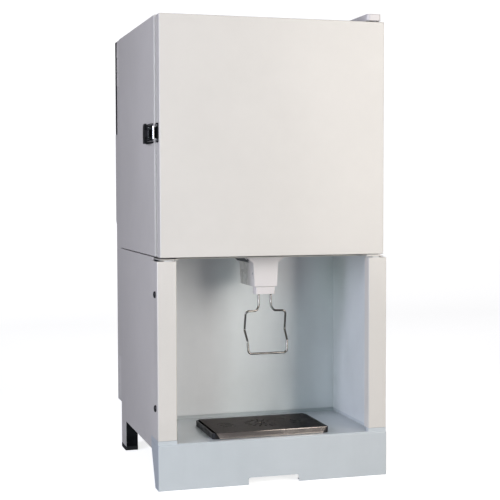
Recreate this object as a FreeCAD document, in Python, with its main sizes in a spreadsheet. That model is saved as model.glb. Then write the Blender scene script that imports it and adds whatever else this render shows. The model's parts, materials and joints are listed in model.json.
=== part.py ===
import FreeCAD, Part
import math
import os

import Sketcher
from FreeCAD import Placement, Rotation, Vector

# Counter-top bag-in-box nacho cheese dispenser.
# A heated cabinet with a hinged front door stands on an open dispensing bay. The product
# tube comes down through the bay ceiling into a plastic head, where a sprung wire lever
# pinches it shut. Frame: +X right, +Y back, +Z up, origin at the middle of the footprint.

DIMENSIONS = [
    ("cab_width", 360.0, "width over the side panels"),
    ("cab_depth", 374.0, "front of the skirt to the back of the grille"),
    ("cab_height", 709.0, "height of the cabinet top"),
    ("cab_bottom", 349.0, "lower edge of the upper cabinet"),
    ("cab_setback", 30.0, "front edge of the upper cabinet behind the skirt"),
    ("side_rear", 325.0, "rear edge of the side panels behind the skirt"),
    ("recess", 5.8, "gap between the bay floor and its walls"),
    ("sheet", 1.2, "sheet metal thickness"),
    ("thin_sheet", 1.0, "liner and cover thickness"),
    ("door_width", 356.0, "door width"),
    ("door_bottom", 348.2, "lower edge of the door"),
    ("door_top", 707.6, "upper edge of the door"),
    ("door_set", 3.0, "door front behind the skirt"),
    ("door_thick", 21.0, "door pan depth"),
    ("gasket_thick", 5.6, "gasket height behind the door pan"),
    ("liner_half", 158.0, "half width of the heated compartment liner"),
    ("liner_low", 370.0, "underside of the liner"),
    ("liner_high", 687.0, "top of the liner"),
    ("liner_rear", 285.0, "back of the liner behind the skirt"),
    ("bay_half", 161.0, "half width of the dispensing bay"),
    ("bay_rear", 181.5, "bay back wall behind the skirt"),
    ("floor_top", 69.6, "bay floor height"),
    ("divider_low", 344.6, "bay ceiling height"),
    ("pillar_width", 29.7, "front width of each pillar"),
    ("pillar_low", 74.9, "foot of the pillars"),
    ("pillar_high", 343.0, "head of the pillars"),
    ("pillar_set", 2.6, "pillar face behind the skirt"),
    ("pillar_return", 53.0, "rear edge of the pillar's side"),
    ("skirt_width", 366.0, "front skirt width"),
    ("skirt_high", 68.4, "front skirt height"),
    ("panel_low", 51.8, "lower edge of the lower side panels"),
    ("leg_width", 20.0, "rear leg width"),
    ("leg_front", 287.0, "front of the rear legs behind the skirt"),
    ("cap_high", 6.8, "leg cap height"),
    ("hinge_x", 166.8, "door hinge axis"),
    ("hinge_set", 15.0, "door hinge axis behind the skirt"),
    ("hinge_pin_r", 3.0, "door hinge pin radius"),
    ("latch_z", 533.5, "height of the middle of the latch"),
    ("latch_pivot_set", 44.0, "latch lever axis behind the skirt"),
    ("latch_pivot_out", 5.5, "latch lever axis outside the cabinet side"),
    ("bail_pivot_set", 51.0, "bail axis behind the skirt"),
    ("bail_out", 5.2, "bail plane outside the cabinet side"),
    ("bail_wire_r", 1.2, "bail wire radius"),
    ("head_half", 18.2, "half width of the head at its lower edge"),
    ("head_front", 50.0, "front of the head behind the skirt"),
    ("head_rear", 130.0, "back of the head behind the skirt"),
    ("head_low", 297.5, "lower edge of the head"),
    ("head_waist", 335.0, "height where the head starts to flare"),
    ("head_top", 344.4, "top of the head's flange"),
    ("lever_z", 318.0, "cup lever axis height"),
    ("lever_set", 58.0, "cup lever axis behind the skirt"),
    ("wire_r", 1.65, "cup lever wire radius"),
    ("wire_set", 56.2, "cup lever legs behind the skirt"),
    ("leg_half", 9.9, "half distance between the lever's legs"),
    ("tube_set", 61.0, "product tube axis behind the skirt"),
    ("tube_r", 5.0, "product tube outer radius"),
    ("tray_left", 95.5, "drip tray's left wall from the middle"),
    ("tray_right", 91.5, "drip tray's right wall from the middle"),
    ("tray_front", 12.0, "drip tray's front behind the skirt"),
    ("tray_rear", 125.0, "drip tray's back behind the skirt"),
    ("tray_top", 80.0, "top of the drip tray's cover"),
    ("fan_z", 560.0, "fan axis height"),
    ("cover_low", 77.0, "lower edge of the rear cover"),
    ("cover_step", 388.0, "height where the rear cover gets deeper"),
    ("cover_shallow", 368.0, "back of the rear cover's lower part"),
    ("grille_low", 547.0, "lower edge of the rear grille"),
    ("cover_high", 708.4, "top of the rear cover and grille"),
    ("grille_front", 356.0, "front of the rear grille behind the skirt"),
]


class Size:
    """A number together with the spreadsheet expression that gives it."""

    def __init__(self, text, value):
        self.text = text
        self.value = float(value)

    def joined(self, sign, other, value):
        return Size(f"({self.text} {sign} {as_size(other).text})", value)

    def __add__(self, other):
        return self.joined("+", other, self.value + as_size(other).value)

    def __sub__(self, other):
        return self.joined("-", other, self.value - as_size(other).value)

    def __mul__(self, other):
        return self.joined("*", other, self.value * as_size(other).value)

    def __truediv__(self, other):
        return self.joined("/", other, self.value / as_size(other).value)

    def __neg__(self):
        return self * -1.0

    __radd__ = __add__
    __rmul__ = __mul__


def as_size(number):
    if isinstance(number, Size):
        return number
    return Size(f"({float(number)!r})", number)


doc = FreeCAD.newDocument("cheese_dispenser")
NODES = []


def fill_sheet():
    """Writes the driving dimensions to the spreadsheet and returns them by name."""
    sheet = doc.addObject("Spreadsheet::Sheet", "Dims")
    sizes = {}
    for row, (name, value, note) in enumerate(DIMENSIONS, start=1):
        sheet.set(f"A{row}", name)
        sheet.set(f"B{row}", repr(value))
        sheet.set(f"C{row}", note)
        sheet.setAlias(f"B{row}", name)
        sizes[name] = Size(f"Dims.{name}", value)
    doc.recompute()
    return sizes


D = fill_sheet()
HALF = D["cab_width"] / 2.0
POST = D["skirt_width"] / 2.0
SHEET = D["sheet"]


def deep(distance):
    """The Y coordinate a distance behind the front plane of the skirt."""
    return as_size(distance) - D["cab_depth"] / 2.0


# ---------------------------------------------------------------- helpers


def bind(thing, prop, size):
    thing.setExpression(prop, as_size(size).text)


def keep(thing, name):
    """Makes an object one of the exported sub-parts."""
    thing.Label = name
    NODES.append(thing)
    return thing


def rect(u0, v0, u1, v1):
    return [(u0, v0), (u1, v0), (u1, v1), (u0, v1)]


def new_body(name):
    return doc.addObject("PartDesign::Body", name + "_body")


def new_sketch(body, plane, at):
    """A sketch on one of the body's origin planes, moved to a coordinate on its normal."""
    sketch = body.newObject("Sketcher::SketchObject", "profile")
    role = plane + "_Plane"
    support = [o for o in body.Origin.OriginFeatures if o.Role == role][0]
    sketch.AttachmentSupport = [(support, "")]
    sketch.MapMode = "FlatFace"
    offset = -as_size(at) if plane == "XZ" else as_size(at)
    bind(sketch, "AttachmentOffset.Base.z", offset)
    return sketch


def pin_point(sketch, edge, end, u, v):
    """Ties a sketch point to its two coordinates."""
    for kind, size in (("DistanceX", as_size(u)), ("DistanceY", as_size(v))):
        index = sketch.addConstraint(Sketcher.Constraint(kind, edge, end, size.value))
        bind(sketch, f"Constraints[{index}]", size)


def polygon(sketch, points):
    flat = [Vector(as_size(u).value, as_size(v).value, 0) for u, v in points]
    count = len(flat)
    for i in range(count):
        sketch.addGeometry(Part.LineSegment(flat[i], flat[(i + 1) % count]), False)
    for i in range(count):
        sketch.addConstraint(Sketcher.Constraint("Coincident", i, 2, (i + 1) % count, 1))
    for i, (u, v) in enumerate(points):
        pin_point(sketch, i, 1, u, v)


def circle(sketch, u, v, radius):
    centre = Vector(as_size(u).value, as_size(v).value, 0)
    up = Vector(0, 0, 1)
    index = sketch.addGeometry(Part.Circle(centre, up, as_size(radius).value), False)
    pin_point(sketch, index, 3, u, v)
    ring = sketch.addConstraint(Sketcher.Constraint("Radius", index, as_size(radius).value))
    bind(sketch, f"Constraints[{ring}]", radius)


def extrude(body, kind, plane, low, high, draw):
    """Pads or pockets a drawn profile between two coordinates along the plane's normal."""
    low, high = as_size(low), as_size(high)
    from_high = (kind == "Pocket") != (plane == "XZ")
    sketch = new_sketch(body, plane, high if from_high else low)
    draw(sketch)
    feature = body.newObject("PartDesign::" + kind, kind.lower())
    feature.Profile = sketch
    bind(feature, "Length", high - low)
    body.Tip = feature
    return feature


def pad(body, plane, low, high, points):
    return extrude(body, "Pad", plane, low, high, lambda s: polygon(s, points))


def pocket(body, plane, low, high, points):
    return extrude(body, "Pocket", plane, low, high, lambda s: polygon(s, points))


def boss(body, plane, low, high, u, v, radius):
    return extrude(body, "Pad", plane, low, high, lambda s: circle(s, u, v, radius))


def drill(body, plane, low, high, u, v, radius):
    return extrude(body, "Pocket", plane, low, high, lambda s: circle(s, u, v, radius))


def near(a, b):
    return abs(a - as_size(b).value) < 0.05


def edges_at(shape, x=None, y=None, z=None):
    """Names of the straight edges that lie on the given coordinates."""
    names = []
    for i, edge in enumerate(shape.Edges, start=1):
        ends = [v.Point for v in edge.Vertexes]
        if len(ends) < 2 or not isinstance(edge.Curve, Part.Line):
            continue
        on_x = x is None or all(near(p.x, x) for p in ends)
        on_y = y is None or all(near(p.y, y) for p in ends)
        on_z = z is None or all(near(p.z, z) for p in ends)
        if on_x and on_y and on_z:
            names.append(f"Edge{i}")
    return names


def round_edges(body, radius, *places):
    """Fillets the edges found at each place, a dict of coordinates."""
    doc.recompute()
    base = body.Tip
    names = []
    for place in places:
        names += [n for n in edges_at(base.Shape, **place) if n not in names]
    fillet = body.newObject("PartDesign::Fillet", "fillet")
    fillet.Base = (base, names)
    bind(fillet, "Radius", radius)
    body.Tip = fillet
    return fillet


def face_on(shape, x=None, y=None, z=None):
    """Name of the largest flat face whose corners all share the given coordinate."""
    best, area = None, 0.0
    for i, face in enumerate(shape.Faces, start=1):
        box = face.BoundBox
        flat_x = x is None or (near(box.XMin, x) and near(box.XMax, x))
        flat_y = y is None or (near(box.YMin, y) and near(box.YMax, y))
        flat_z = z is None or (near(box.ZMin, z) and near(box.ZMax, z))
        if flat_x and flat_y and flat_z and face.Area > area:
            best, area = f"Face{i}", face.Area
    return best


def hollow(body, wall, *open_faces):
    """Turns a solid into an inward sheet shell, open at the given faces."""
    doc.recompute()
    base = body.Tip
    shell = body.newObject("PartDesign::Thickness", "sheet_shell")
    shell.Base = (base, [face_on(base.Shape, **place) for place in open_faces])
    bind(shell, "Value", wall)
    shell.Reversed = True
    shell.Mode = 0
    shell.Join = 1
    body.Tip = shell
    return shell


def block(x0, x1, y0, y1, z0, z1, name="block"):
    """A Part box between coordinates."""
    box = doc.addObject("Part::Box", name)
    for prop, low, high in (("Length", x0, x1), ("Width", y0, y1), ("Height", z0, z1)):
        bind(box, prop, as_size(high) - low)
    for axis, low in (("x", x0), ("y", y0), ("z", z0)):
        bind(box, "Placement.Base." + axis, low)
    return box


TURNS = {"X": (Vector(0, 1, 0), 90), "Y": (Vector(1, 0, 0), -90), "Z": (Vector(0, 0, 1), 0)}


def rod(axis, low, high, a, b, radius, name="rod"):
    """A Part cylinder along an axis, between two coordinates, at the two others."""
    cylinder = doc.addObject("Part::Cylinder", name)
    bind(cylinder, "Radius", radius)
    bind(cylinder, "Height", as_size(high) - low)
    turn, angle = TURNS[axis]
    cylinder.Placement = Placement(Vector(0, 0, 0), Rotation(turn, angle))
    others = [letter for letter in "XYZ" if letter != axis]
    places = {axis: low, others[0]: a, others[1]: b}
    for letter, size in places.items():
        bind(cylinder, "Placement.Base." + letter.lower(), size)
    return cylinder


def fuse(*pieces):
    if len(pieces) == 1:
        return pieces[0]
    union = doc.addObject("Part::MultiFuse", "union")
    union.Shapes = list(pieces)
    return union


def cut(base, *tools):
    result = doc.addObject("Part::Cut", "cut")
    result.Base = base
    result.Tool = fuse(*tools)
    return result


def group(*pieces):
    """Separate identical solids that share one node."""
    compound = doc.addObject("Part::Compound", "group")
    compound.Links = list(pieces)
    return compound


def direct(shape):
    """A Part::Feature for a shape that no feature here makes."""
    feature = doc.addObject("Part::Feature", "shape")
    feature.Shape = shape
    return feature


def bent_wire(points, bend, radius, closed=False):
    """A round wire along straight runs joined by tangent arcs of one bend radius."""
    points = [Vector(*p) for p in points]
    count = len(points)
    corners = range(count) if closed else range(1, count - 1)
    starts, arcs, stops = {}, {}, {}
    for i in corners:
        before = (points[i - 1] - points[i]).normalize()
        after = (points[(i + 1) % count] - points[i]).normalize()
        half = before.getAngle(after) / 2.0
        reach = bend / math.tan(half)
        middle = (before + after).normalize() * (bend / math.sin(half) - bend)
        starts[i] = points[i] + before * reach
        stops[i] = points[i] + after * reach
        arcs[i] = Part.Arc(starts[i], points[i] + middle, stops[i]).toShape()
    edges = []
    for i in range(count if closed else count - 1):
        follow = (i + 1) % count
        head = stops.get(i, points[i])
        tail = starts.get(follow, points[follow])
        edges.append(Part.LineSegment(head, tail).toShape())
        if follow in arcs:
            edges.append(arcs[follow])
    path = Part.Wire(edges)
    first = edges[0]
    start = first.valueAt(first.FirstParameter)
    tangent = first.tangentAt(first.FirstParameter)
    ring = Part.Wire([Part.Circle(start, tangent, radius).toShape()])
    return path.makePipeShell([ring], True, False)


def screw(axis, face, out, a, b, head_r, head_high, shank_r, shank_long):
    """A pan-head screw: its head stands on a face, with a cross recess, and points out."""
    face = as_size(face)
    tip = face + out * head_high
    root = face - out * shank_long
    low_head, high_head = (face, tip) if out > 0 else (tip, face)
    low_shank, high_shank = (root, face) if out > 0 else (face, root)
    head = rod(axis, low_head, high_head, a, b, head_r)
    doc.recompute()
    dome = doc.addObject("Part::Fillet", "dome")
    dome.Base = head
    height = tip.value
    coordinate = {"X": "x", "Y": "y", "Z": "z"}[axis]
    rim = [
        i
        for i, edge in enumerate(head.Shape.Edges, start=1)
        if isinstance(edge.Curve, Part.Circle)
        and abs(getattr(edge.Curve.Center, coordinate) - height) < 0.01
    ]
    dome.Edges = [(i, head_high * 0.7, head_high * 0.7) for i in rim]
    shank = rod(axis, low_shank, high_shank, a, b, shank_r)
    depth = head_high * 0.55
    low_cross, high_cross = (tip - depth, tip + 1.0) if out > 0 else (tip - 1.0, tip + depth)
    long, short = head_r * 0.52, head_r * 0.13
    cross = []
    for wide, tall in ((long, short), (short, long)):
        a_low, a_high = as_size(a) - wide, as_size(a) + wide
        b_low, b_high = as_size(b) - tall, as_size(b) + tall
        span = {
            "X": (low_cross, high_cross, a_low, a_high, b_low, b_high),
            "Y": (a_low, a_high, low_cross, high_cross, b_low, b_high),
            "Z": (a_low, a_high, b_low, b_high, low_cross, high_cross),
        }[axis]
        cross.append(block(*span))
    return cut(fuse(dome, shank), *cross)


# ---------------------------------------------------------------- upper cabinet


def outer_shell():
    """Folded sheet wrap: sides and top, with rounded returns round the front opening."""
    front, rear = deep(D["cab_setback"]), deep(D["side_rear"])
    body = new_body("outer_shell")
    pad(body, "XZ", front, rear, rect(-HALF, D["cab_bottom"], HALF, D["cab_height"]))
    top = D["cab_height"]
    round_edges(body, 2.0, dict(x=-HALF, z=top), dict(x=HALF, z=top))
    round_edges(body, 1.6, dict(x=-HALF, y=front), dict(x=HALF, y=front), dict(y=front, z=top))
    opening = HALF - 12.0
    low, high = D["cab_bottom"] + 12.0, top - 12.0
    pocket(body, "XZ", front - 1.0, front + 3.0, rect(-opening, low, opening, high))
    room = new_body("outer_shell_room")
    wide, ceiling, face = HALF - SHEET, top - SHEET, front + SHEET
    pad(room, "XZ", face, rear + 1.0, rect(-wide, D["cab_bottom"] - 1.0, wide, ceiling))
    round_edges(room, 0.8, dict(x=-wide, z=ceiling), dict(x=wide, z=ceiling))
    round_edges(room, 0.4, dict(x=-wide, y=face), dict(x=wide, y=face), dict(y=face, z=ceiling))
    keep(cut(body, room), "outer_shell")


def front_frame():
    """Plastic ring that closes the gap between the wrap and the liner."""
    front = deep(D["cab_setback"])
    body = new_body("front_frame")
    low, high = D["cab_bottom"] + 12.4, D["cab_height"] - 12.4
    wide = HALF - 12.4
    pad(body, "XZ", front, front + 3.0, rect(-wide, low, wide, high))
    inner = D["liner_half"] - 1.0
    hole = rect(-inner, D["liner_low"] + 1.0, inner, D["liner_high"] - 1.0)
    pocket(body, "XZ", front - 1.0, front + 4.0, hole)
    keep(body, "front_frame")


def inner_liner():
    """Heated compartment, open to the front."""
    front, rear = deep(D["cab_setback"]) + 3.1, deep(D["liner_rear"])
    wide, low, high = D["liner_half"], D["liner_low"], D["liner_high"]
    body = new_body("inner_liner")
    pad(body, "XZ", front, rear, rect(-wide, low, wide, high))
    corners = [dict(x=s * wide, z=z) for s in (-1.0, 1.0) for z in (low, high)]
    round_edges(body, 8.0, *corners)
    hollow(body, D["thin_sheet"], dict(y=front))
    drill(body, "XY", low - 1.0, low + 2.0, 0.0, deep(D["tube_set"]), D["tube_r"] + 2.0)
    drill(body, "XZ", rear - 2.0, rear + 1.0, 0.0, D["fan_z"], 31.0)
    keep(body, "inner_liner")


def insulation():
    front, rear = deep(D["cab_setback"]) + 3.4, deep(318.0)
    wide = HALF - SHEET - 0.4
    low, high = D["cab_bottom"] + 2.0, D["cab_height"] - SHEET - 1.0
    gap = 0.2
    foam = block(-wide, wide, front, rear, low, high)
    liner = D["liner_half"] + gap
    liner_low, liner_high = D["liner_low"] - gap, D["liner_high"] + gap
    room = block(-liner, liner, front - 1.0, deep(D["liner_rear"]) + gap, liner_low, liner_high)
    throat = rod("Z", low - 1.0, D["liner_low"] + 1.0, 0.0, deep(D["tube_set"]), 8.0)
    motor_room = rod("Y", deep(D["liner_rear"]) - 1.0, rear + 1.0, 0.0, D["fan_z"], 34.0)
    keep(cut(foam, room, throat, motor_room), "insulation")


def cabinet_floor():
    low = D["cab_bottom"] + 0.2
    wide = HALF - SHEET - 0.2
    plate = block(-wide, wide, deep(D["cab_setback"]) + 1.6, deep(322.0), low, low + SHEET)
    throat = rod("Z", low - 1.0, low + 3.0, 0.0, deep(D["tube_set"]), 7.0)
    keep(cut(plate, throat), "cabinet_floor")


def back_panel():
    """Inner back of the upper cabinet, with the fan motor's hole."""
    front = deep(D["side_rear"]) - 2.4
    wide = HALF - SHEET - 0.2
    high = D["cab_height"] - SHEET - 0.4
    plate = block(-wide, wide, front, front + SHEET, D["cab_bottom"] + 1.8, high)
    hole = rod("Y", front - 1.0, front + 3.0, 0.0, D["fan_z"], 33.0)
    keep(cut(plate, hole), "back_panel")


def divider_panel():
    """Bay ceiling, with a tab over each pillar and holes for the head's screws."""
    low = D["divider_low"]
    wide, tab = HALF - SHEET - 0.6, 150.0
    front, shelf, rear = deep(4.0), deep(28.0), deep(323.0)
    points = [(-wide, front), (-tab, front), (-tab, shelf), (tab, shelf), (tab, front)]
    points += [(wide, front), (wide, rear), (-wide, rear)]
    body = new_body("divider_panel")
    pad(body, "XY", low, low + SHEET, points)
    round_edges(body, 2.0, dict(x=-wide, y=front), dict(x=wide, y=front))
    drill(body, "XY", low - 1.0, low + 3.0, 0.0, deep(D["tube_set"]), 7.0)
    for x in (-25.0, 25.0):
        for y in HEAD_SCREWS:
            drill(body, "XY", low - 1.0, low + 3.0, x, deep(y), 1.56)
    keep(body, "divider_panel")


# ---------------------------------------------------------------- lower housing


def side_panel(side, name):
    """Lower side sheet with a tab that runs down the leg and a folded rear edge."""
    outer, inner = side * HALF, side * (HALF - SHEET)
    front, rear = deep(D["pillar_return"] - 8.0), deep(D["side_rear"])
    leg, low, high = deep(D["leg_front"]), D["panel_low"], D["cab_bottom"] - 1.4
    foot = D["cap_high"] + 0.4
    lip = side * (HALF - 14.0)
    outline = [(front, low), (leg, low), (leg, foot), (rear, foot), (rear, high), (front, high)]
    body = new_body(name)
    x_low, x_high = (outer, inner) if side < 0 else (inner, outer)
    pad(body, "YZ", x_low, x_high, outline)
    pad(body, "XY", low, high, rect(outer, rear - SHEET, lip, rear))
    round_edges(body, 1.0, dict(x=outer, y=rear))
    keep(body, name)


def pillar(side, name):
    """Folded post: front face, side return and a short return into the bay."""
    outer, inner = side * POST, side * (POST - D["pillar_width"])
    face, back = deep(D["pillar_set"]), deep(D["pillar_return"])
    lip = deep(20.0)
    thick = side * SHEET
    points = [(outer, back), (outer, face), (inner, face), (inner, lip)]
    points += [(inner + thick, lip), (inner + thick, face + SHEET)]
    points += [(outer - thick, face + SHEET), (outer - thick, back)]
    body = new_body(name)
    pad(body, "XY", D["pillar_low"], D["pillar_high"], points)
    round_edges(body, 1.7, dict(x=outer, y=face), dict(x=inner, y=face))
    inside_outer = dict(x=outer - thick, y=face + SHEET)
    round_edges(body, 0.5, inside_outer, dict(x=inner + thick, y=face + SHEET))
    low, high = (-POST - 1.0, -POST + 3.0) if side < 0 else (POST - 3.0, POST + 1.0)
    for height in PILLAR_SCREWS:
        drill(body, "YZ", low, high, deep(17.0), height, 2.6)
    keep(body, name)


PILLAR_SCREWS = (122.0, 293.0)


def pillar_screws():
    screws = [
        screw("X", side * POST, side, deep(17.0), height, 5.2, 2.4, 2.4, 9.0)
        for side in (-1.0, 1.0)
        for height in PILLAR_SCREWS
    ]
    keep(group(*screws), "pillar_screws")


def front_skirt():
    """Base front with the low notch, side flanges and returns that stand on the counter."""
    wide, high = POST, D["skirt_high"]
    left, right, notch = -43.0, 37.6, 10.8
    front = deep(0.0)
    outline = [(-wide, 0.0), (left, 0.0), (left, notch), (right, notch), (right, 0.0)]
    outline += [(wide, 0.0), (wide, high), (-wide, high)]
    body = new_body("front_skirt")
    pad(body, "XZ", front, front + SHEET, outline)
    flange = [(front, 0.0), (deep(24.0), 0.0), (deep(51.0), 57.0), (deep(51.0), high)]
    flange.append((front, high))
    for low_x, high_x in ((-wide, -wide + SHEET), (wide - SHEET, wide)):
        pad(body, "YZ", low_x, high_x, flange)
    inside = wide - SHEET
    pad(body, "XY", high - SHEET, high, rect(-inside, front, inside, deep(10.0)))
    pad(body, "XY", 0.0, SHEET, rect(-inside, front, left - 3.0, deep(16.0)))
    pad(body, "XY", 0.0, SHEET, rect(right + 3.0, front, inside, deep(16.0)))
    round_edges(body, 3.6, dict(x=left, z=notch), dict(x=right, z=notch))
    round_edges(body, 1.1, dict(x=-wide, y=front), dict(x=wide, y=front))
    round_edges(body, 1.0, dict(y=front, z=high))
    keep(body, "front_skirt")


def base_pan():
    """Underside of the lower housing, with an upturned front edge behind the skirt."""
    low = D["panel_low"] + 0.4
    wide = HALF - SHEET - 0.2
    body = new_body("base_pan")
    pad(body, "XY", low, low + SHEET, rect(-wide, deep(12.0), wide, deep(323.4)))
    pad(body, "XZ", deep(12.0), deep(12.0) + SHEET, rect(-wide, low, wide, D["skirt_high"] - 2.0))
    keep(body, "base_pan")


def bay_back_wall():
    wide = D["bay_half"] + D["thin_sheet"]
    rear = deep(D["bay_rear"])
    high = D["divider_low"] - 0.2
    low = D["floor_top"] + D["recess"]
    wall = block(-wide, wide, rear, rear + D["thin_sheet"], low, high)
    keep(wall, "bay_back_wall")


def bay_wall(side, name):
    """Side of the bay, with a flange tucked behind the pillar's face."""
    inner = side * D["bay_half"]
    outer = inner + side * D["thin_sheet"]
    flange = side * 172.0
    front, rear = deep(6.0), deep(D["bay_rear"]) - 0.1
    thin = D["thin_sheet"]
    points = [(inner, front), (inner, rear), (outer, rear), (outer, front + thin)]
    points += [(flange, front + thin), (flange, front)]
    body = new_body(name)
    pad(body, "XY", D["floor_top"] + D["recess"], D["divider_low"] - 0.2, points)
    keep(body, name)


def bay_floor():
    """Bay floor, turned up outside the walls, with raised seats that carry the pillars."""
    top = D["floor_top"]
    wide, middle = POST - 0.1, D["bay_half"] + 3.4
    front, shelf, rear = deep(2.0), deep(52.6), deep(D["bay_rear"]) + 4.4
    panel = deep(D["pillar_return"] - 8.0) - 0.2
    points = [(-wide, front), (wide, front), (wide, panel), (middle, panel), (middle, rear)]
    points += [(-middle, rear), (-middle, panel), (-wide, panel)]
    body = new_body("bay_floor")
    pad(body, "XY", top - SHEET, top, points)
    lip = top + D["recess"] + 1.6
    pad(body, "XZ", rear - SHEET, rear, rect(-middle, top - SHEET, middle, lip))
    for side in (-1.0, 1.0):
        pad(body, "YZ", *upstand_span(side, middle), rect(panel, top - SHEET, rear, lip))
        outer, inner, post = side * wide, side * (POST - D["pillar_width"]), side * (middle - 1.0)
        strip = side * (HALF + 0.2)
        face, stop = deep(D["pillar_set"]), deep(12.0)
        seat = [(inner, face), (outer, face), (outer, shelf), (strip, shelf), (strip, panel)]
        seat += [(post, panel), (post, stop), (inner, stop)]
        pad(body, "XY", top - SHEET, D["pillar_low"] - 0.2, seat)
    keep(body, "bay_floor")


def upstand_span(side, middle):
    """The X span of the floor's upstand on one side."""
    if side < 0:
        return -middle, -middle + SHEET
    return middle - SHEET, middle


def rear_leg(side, name):
    """Square tube leg behind the side panel's tab."""
    outer, inner = side * (HALF - SHEET - 0.1), side * (HALF - SHEET - 0.1 - D["leg_width"])
    front, rear = deep(D["leg_front"]) + 0.2, deep(D["side_rear"]) - SHEET - 0.2
    wall = 1.5
    low, high = D["cap_high"] + 0.1, D["panel_low"] + 0.3
    body = new_body(name)
    pad(body, "XY", low, high, rect(outer, front, inner, rear))
    corners = [dict(x=x, y=y) for x in (outer, inner) for y in (front, rear)]
    round_edges(body, 1.0, *corners)
    hole = rect(outer - side * wall, front + wall, inner + side * wall, rear - wall)
    pocket(body, "XY", low - 1.0, high + 1.0, hole)
    keep(body, name)


def leg_cap(side):
    """Black cap: a foot as large as the leg and its tab, and a plug inside the tube."""
    outer, inner = side * (HALF + 0.3), side * (HALF - SHEET - 0.4 - D["leg_width"])
    front, rear = deep(D["leg_front"]) - 0.4, deep(D["side_rear"]) + 0.3
    body = new_body("leg_cap")
    pad(body, "XY", 0.0, D["cap_high"], rect(outer, front, inner, rear))
    corners = [dict(x=x, y=y) for x in (outer, inner) for y in (front, rear)]
    round_edges(body, 2.0, *corners)
    plug_out, plug_in = side * (HALF - 4.0), side * (HALF - 18.0)
    plug = rect(plug_out, front + 4.0, plug_in, rear - 5.0)
    pad(body, "XY", D["cap_high"] - 1.0, D["cap_high"] + 9.0, plug)
    return body


def leg_caps():
    keep(group(leg_cap(-1.0), leg_cap(1.0)), "leg_caps")


# ---------------------------------------------------------------- back


LOUVRES = ((83.0, 105.0), (106.5, 131.0), (132.5, 157.0))
UPPER_LOUVRES = ((629.0, 652.0), (653.5, 676.5), (678.0, 701.0))


def rear_cover():
    """Service cover with raised side louvres and slots in its lower back."""
    wide = HALF - 1.6
    front = deep(D["side_rear"]) + 0.3
    shallow, full, seat = deep(D["cover_shallow"]), deep(D["cab_depth"]), deep(D["grille_front"])
    low, step, top = D["cover_low"], D["cover_step"], D["cover_high"]
    ledge = D["grille_low"] - 0.3
    outline = [(front, low), (shallow, low), (shallow, step), (full, step + 6.0)]
    outline += [(full, ledge), (seat, ledge), (seat, top), (front, top)]
    body = new_body("rear_cover")
    pad(body, "YZ", -wide, wide, outline)
    for side in (-1.0, 1.0):
        for low_z, high_z in LOUVRES + UPPER_LOUVRES:
            root, tip = side * wide, side * (wide + 1.4)
            hood = [(root, deep(337.0)), (tip, deep(349.0)), (root, deep(350.0))]
            pad(body, "XY", low_z, high_z, hood)
    shelled = block(
        -wide + 1.0, wide - 1.0, front - 1.0, shallow - 1.0, low + 1.0, step - 1.0
    )
    upper = block(-wide + 1.0, wide - 1.0, front - 1.0, seat - 1.0, step - 2.0, top - 1.0)
    middle = block(-wide + 1.0, wide - 1.0, front, full - 1.0, step + 7.0, ledge - 1.0)
    bridge = block(-wide + 1.0, wide - 1.0, front, shallow - 1.0, step - 2.0, step + 8.0)
    slots = [
        block(x0, x0 + 90.0, shallow - 3.0, shallow + 2.0, z, z + 5.0)
        for x0 in (-150.0, 60.0)
        for z in [190.0 + 14.0 * k for k in range(11)]
    ]
    air = block(-150.0, 150.0, seat - 3.0, seat + 2.0, ledge + 20.0, top - 20.0)
    socket = block(*INLET_HOLE[:2], shallow - 3.0, shallow + 2.0, *INLET_HOLE[2:])
    rocker = block(*SWITCH_HOLE[:2], shallow - 3.0, shallow + 2.0, *SWITCH_HOLE[2:])
    vents = [
        block(low_x, low_x + 3.0, deep(344.5), deep(350.5), low_z + 1.5, high_z - 1.5)
        for low_x in ((-HALF).value + 0.9, HALF.value - 3.9)
        for low_z, high_z in LOUVRES + UPPER_LOUVRES
    ]
    openings = slots + vents + [air, socket, rocker]
    keep(cut(body, shelled, upper, middle, bridge, *openings), "rear_cover")


INLET_HOLE = (70.0, 100.0, 100.0, 122.0)
SWITCH_HOLE = (108.0, 128.0, 98.0, 124.0)


def rear_grille():
    """Black air outlet grille across the upper back."""
    wide = HALF - 1.6
    front, rear = deep(D["grille_front"]) + 0.2, deep(D["cab_depth"])
    low, high = D["grille_low"], D["cover_high"] - 0.2
    body = new_body("rear_grille")
    pad(body, "XZ", front, rear, rect(-wide, low, wide, high))
    rim = [dict(x=-wide, y=rear), dict(x=wide, y=rear), dict(y=rear, z=low), dict(y=rear, z=high)]
    round_edges(body, 3.0, *rim)
    for x in (-168.0, 168.0):
        for z in (558.0, 695.0):
            drill(body, "XZ", rear - 1.2, rear + 1.0, x, z, 4.4)
    room = block(-wide + 2.0, wide - 2.0, front - 1.0, rear - 2.4, low + 2.0, high - 2.0)
    slots = [
        block(x0, x0 + 96.0, rear - 4.0, rear + 1.0, z, z + 6.0)
        for x0 in (-153.0, -48.0, 57.0)
        for z in [567.0 + 12.0 * k for k in range(11)]
    ]
    keep(cut(body, room, *slots), "rear_grille")


def rear_screws():
    """Cover screws, and the grille's screws sunk in their counterbores."""
    shallow, full = deep(D["cover_shallow"]), deep(D["cab_depth"]) - 1.2
    screws = [
        screw("Y", face, 1.0, x, z, 3.6, 1.0 if face is full else 2.0, 1.6, 0.9)
        for face, heights in ((shallow, (90.0, 372.0)), (full, (558.0, 695.0)))
        for x in (-168.0, 168.0)
        for z in heights
    ]
    keep(group(*screws), "rear_screws")


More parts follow.
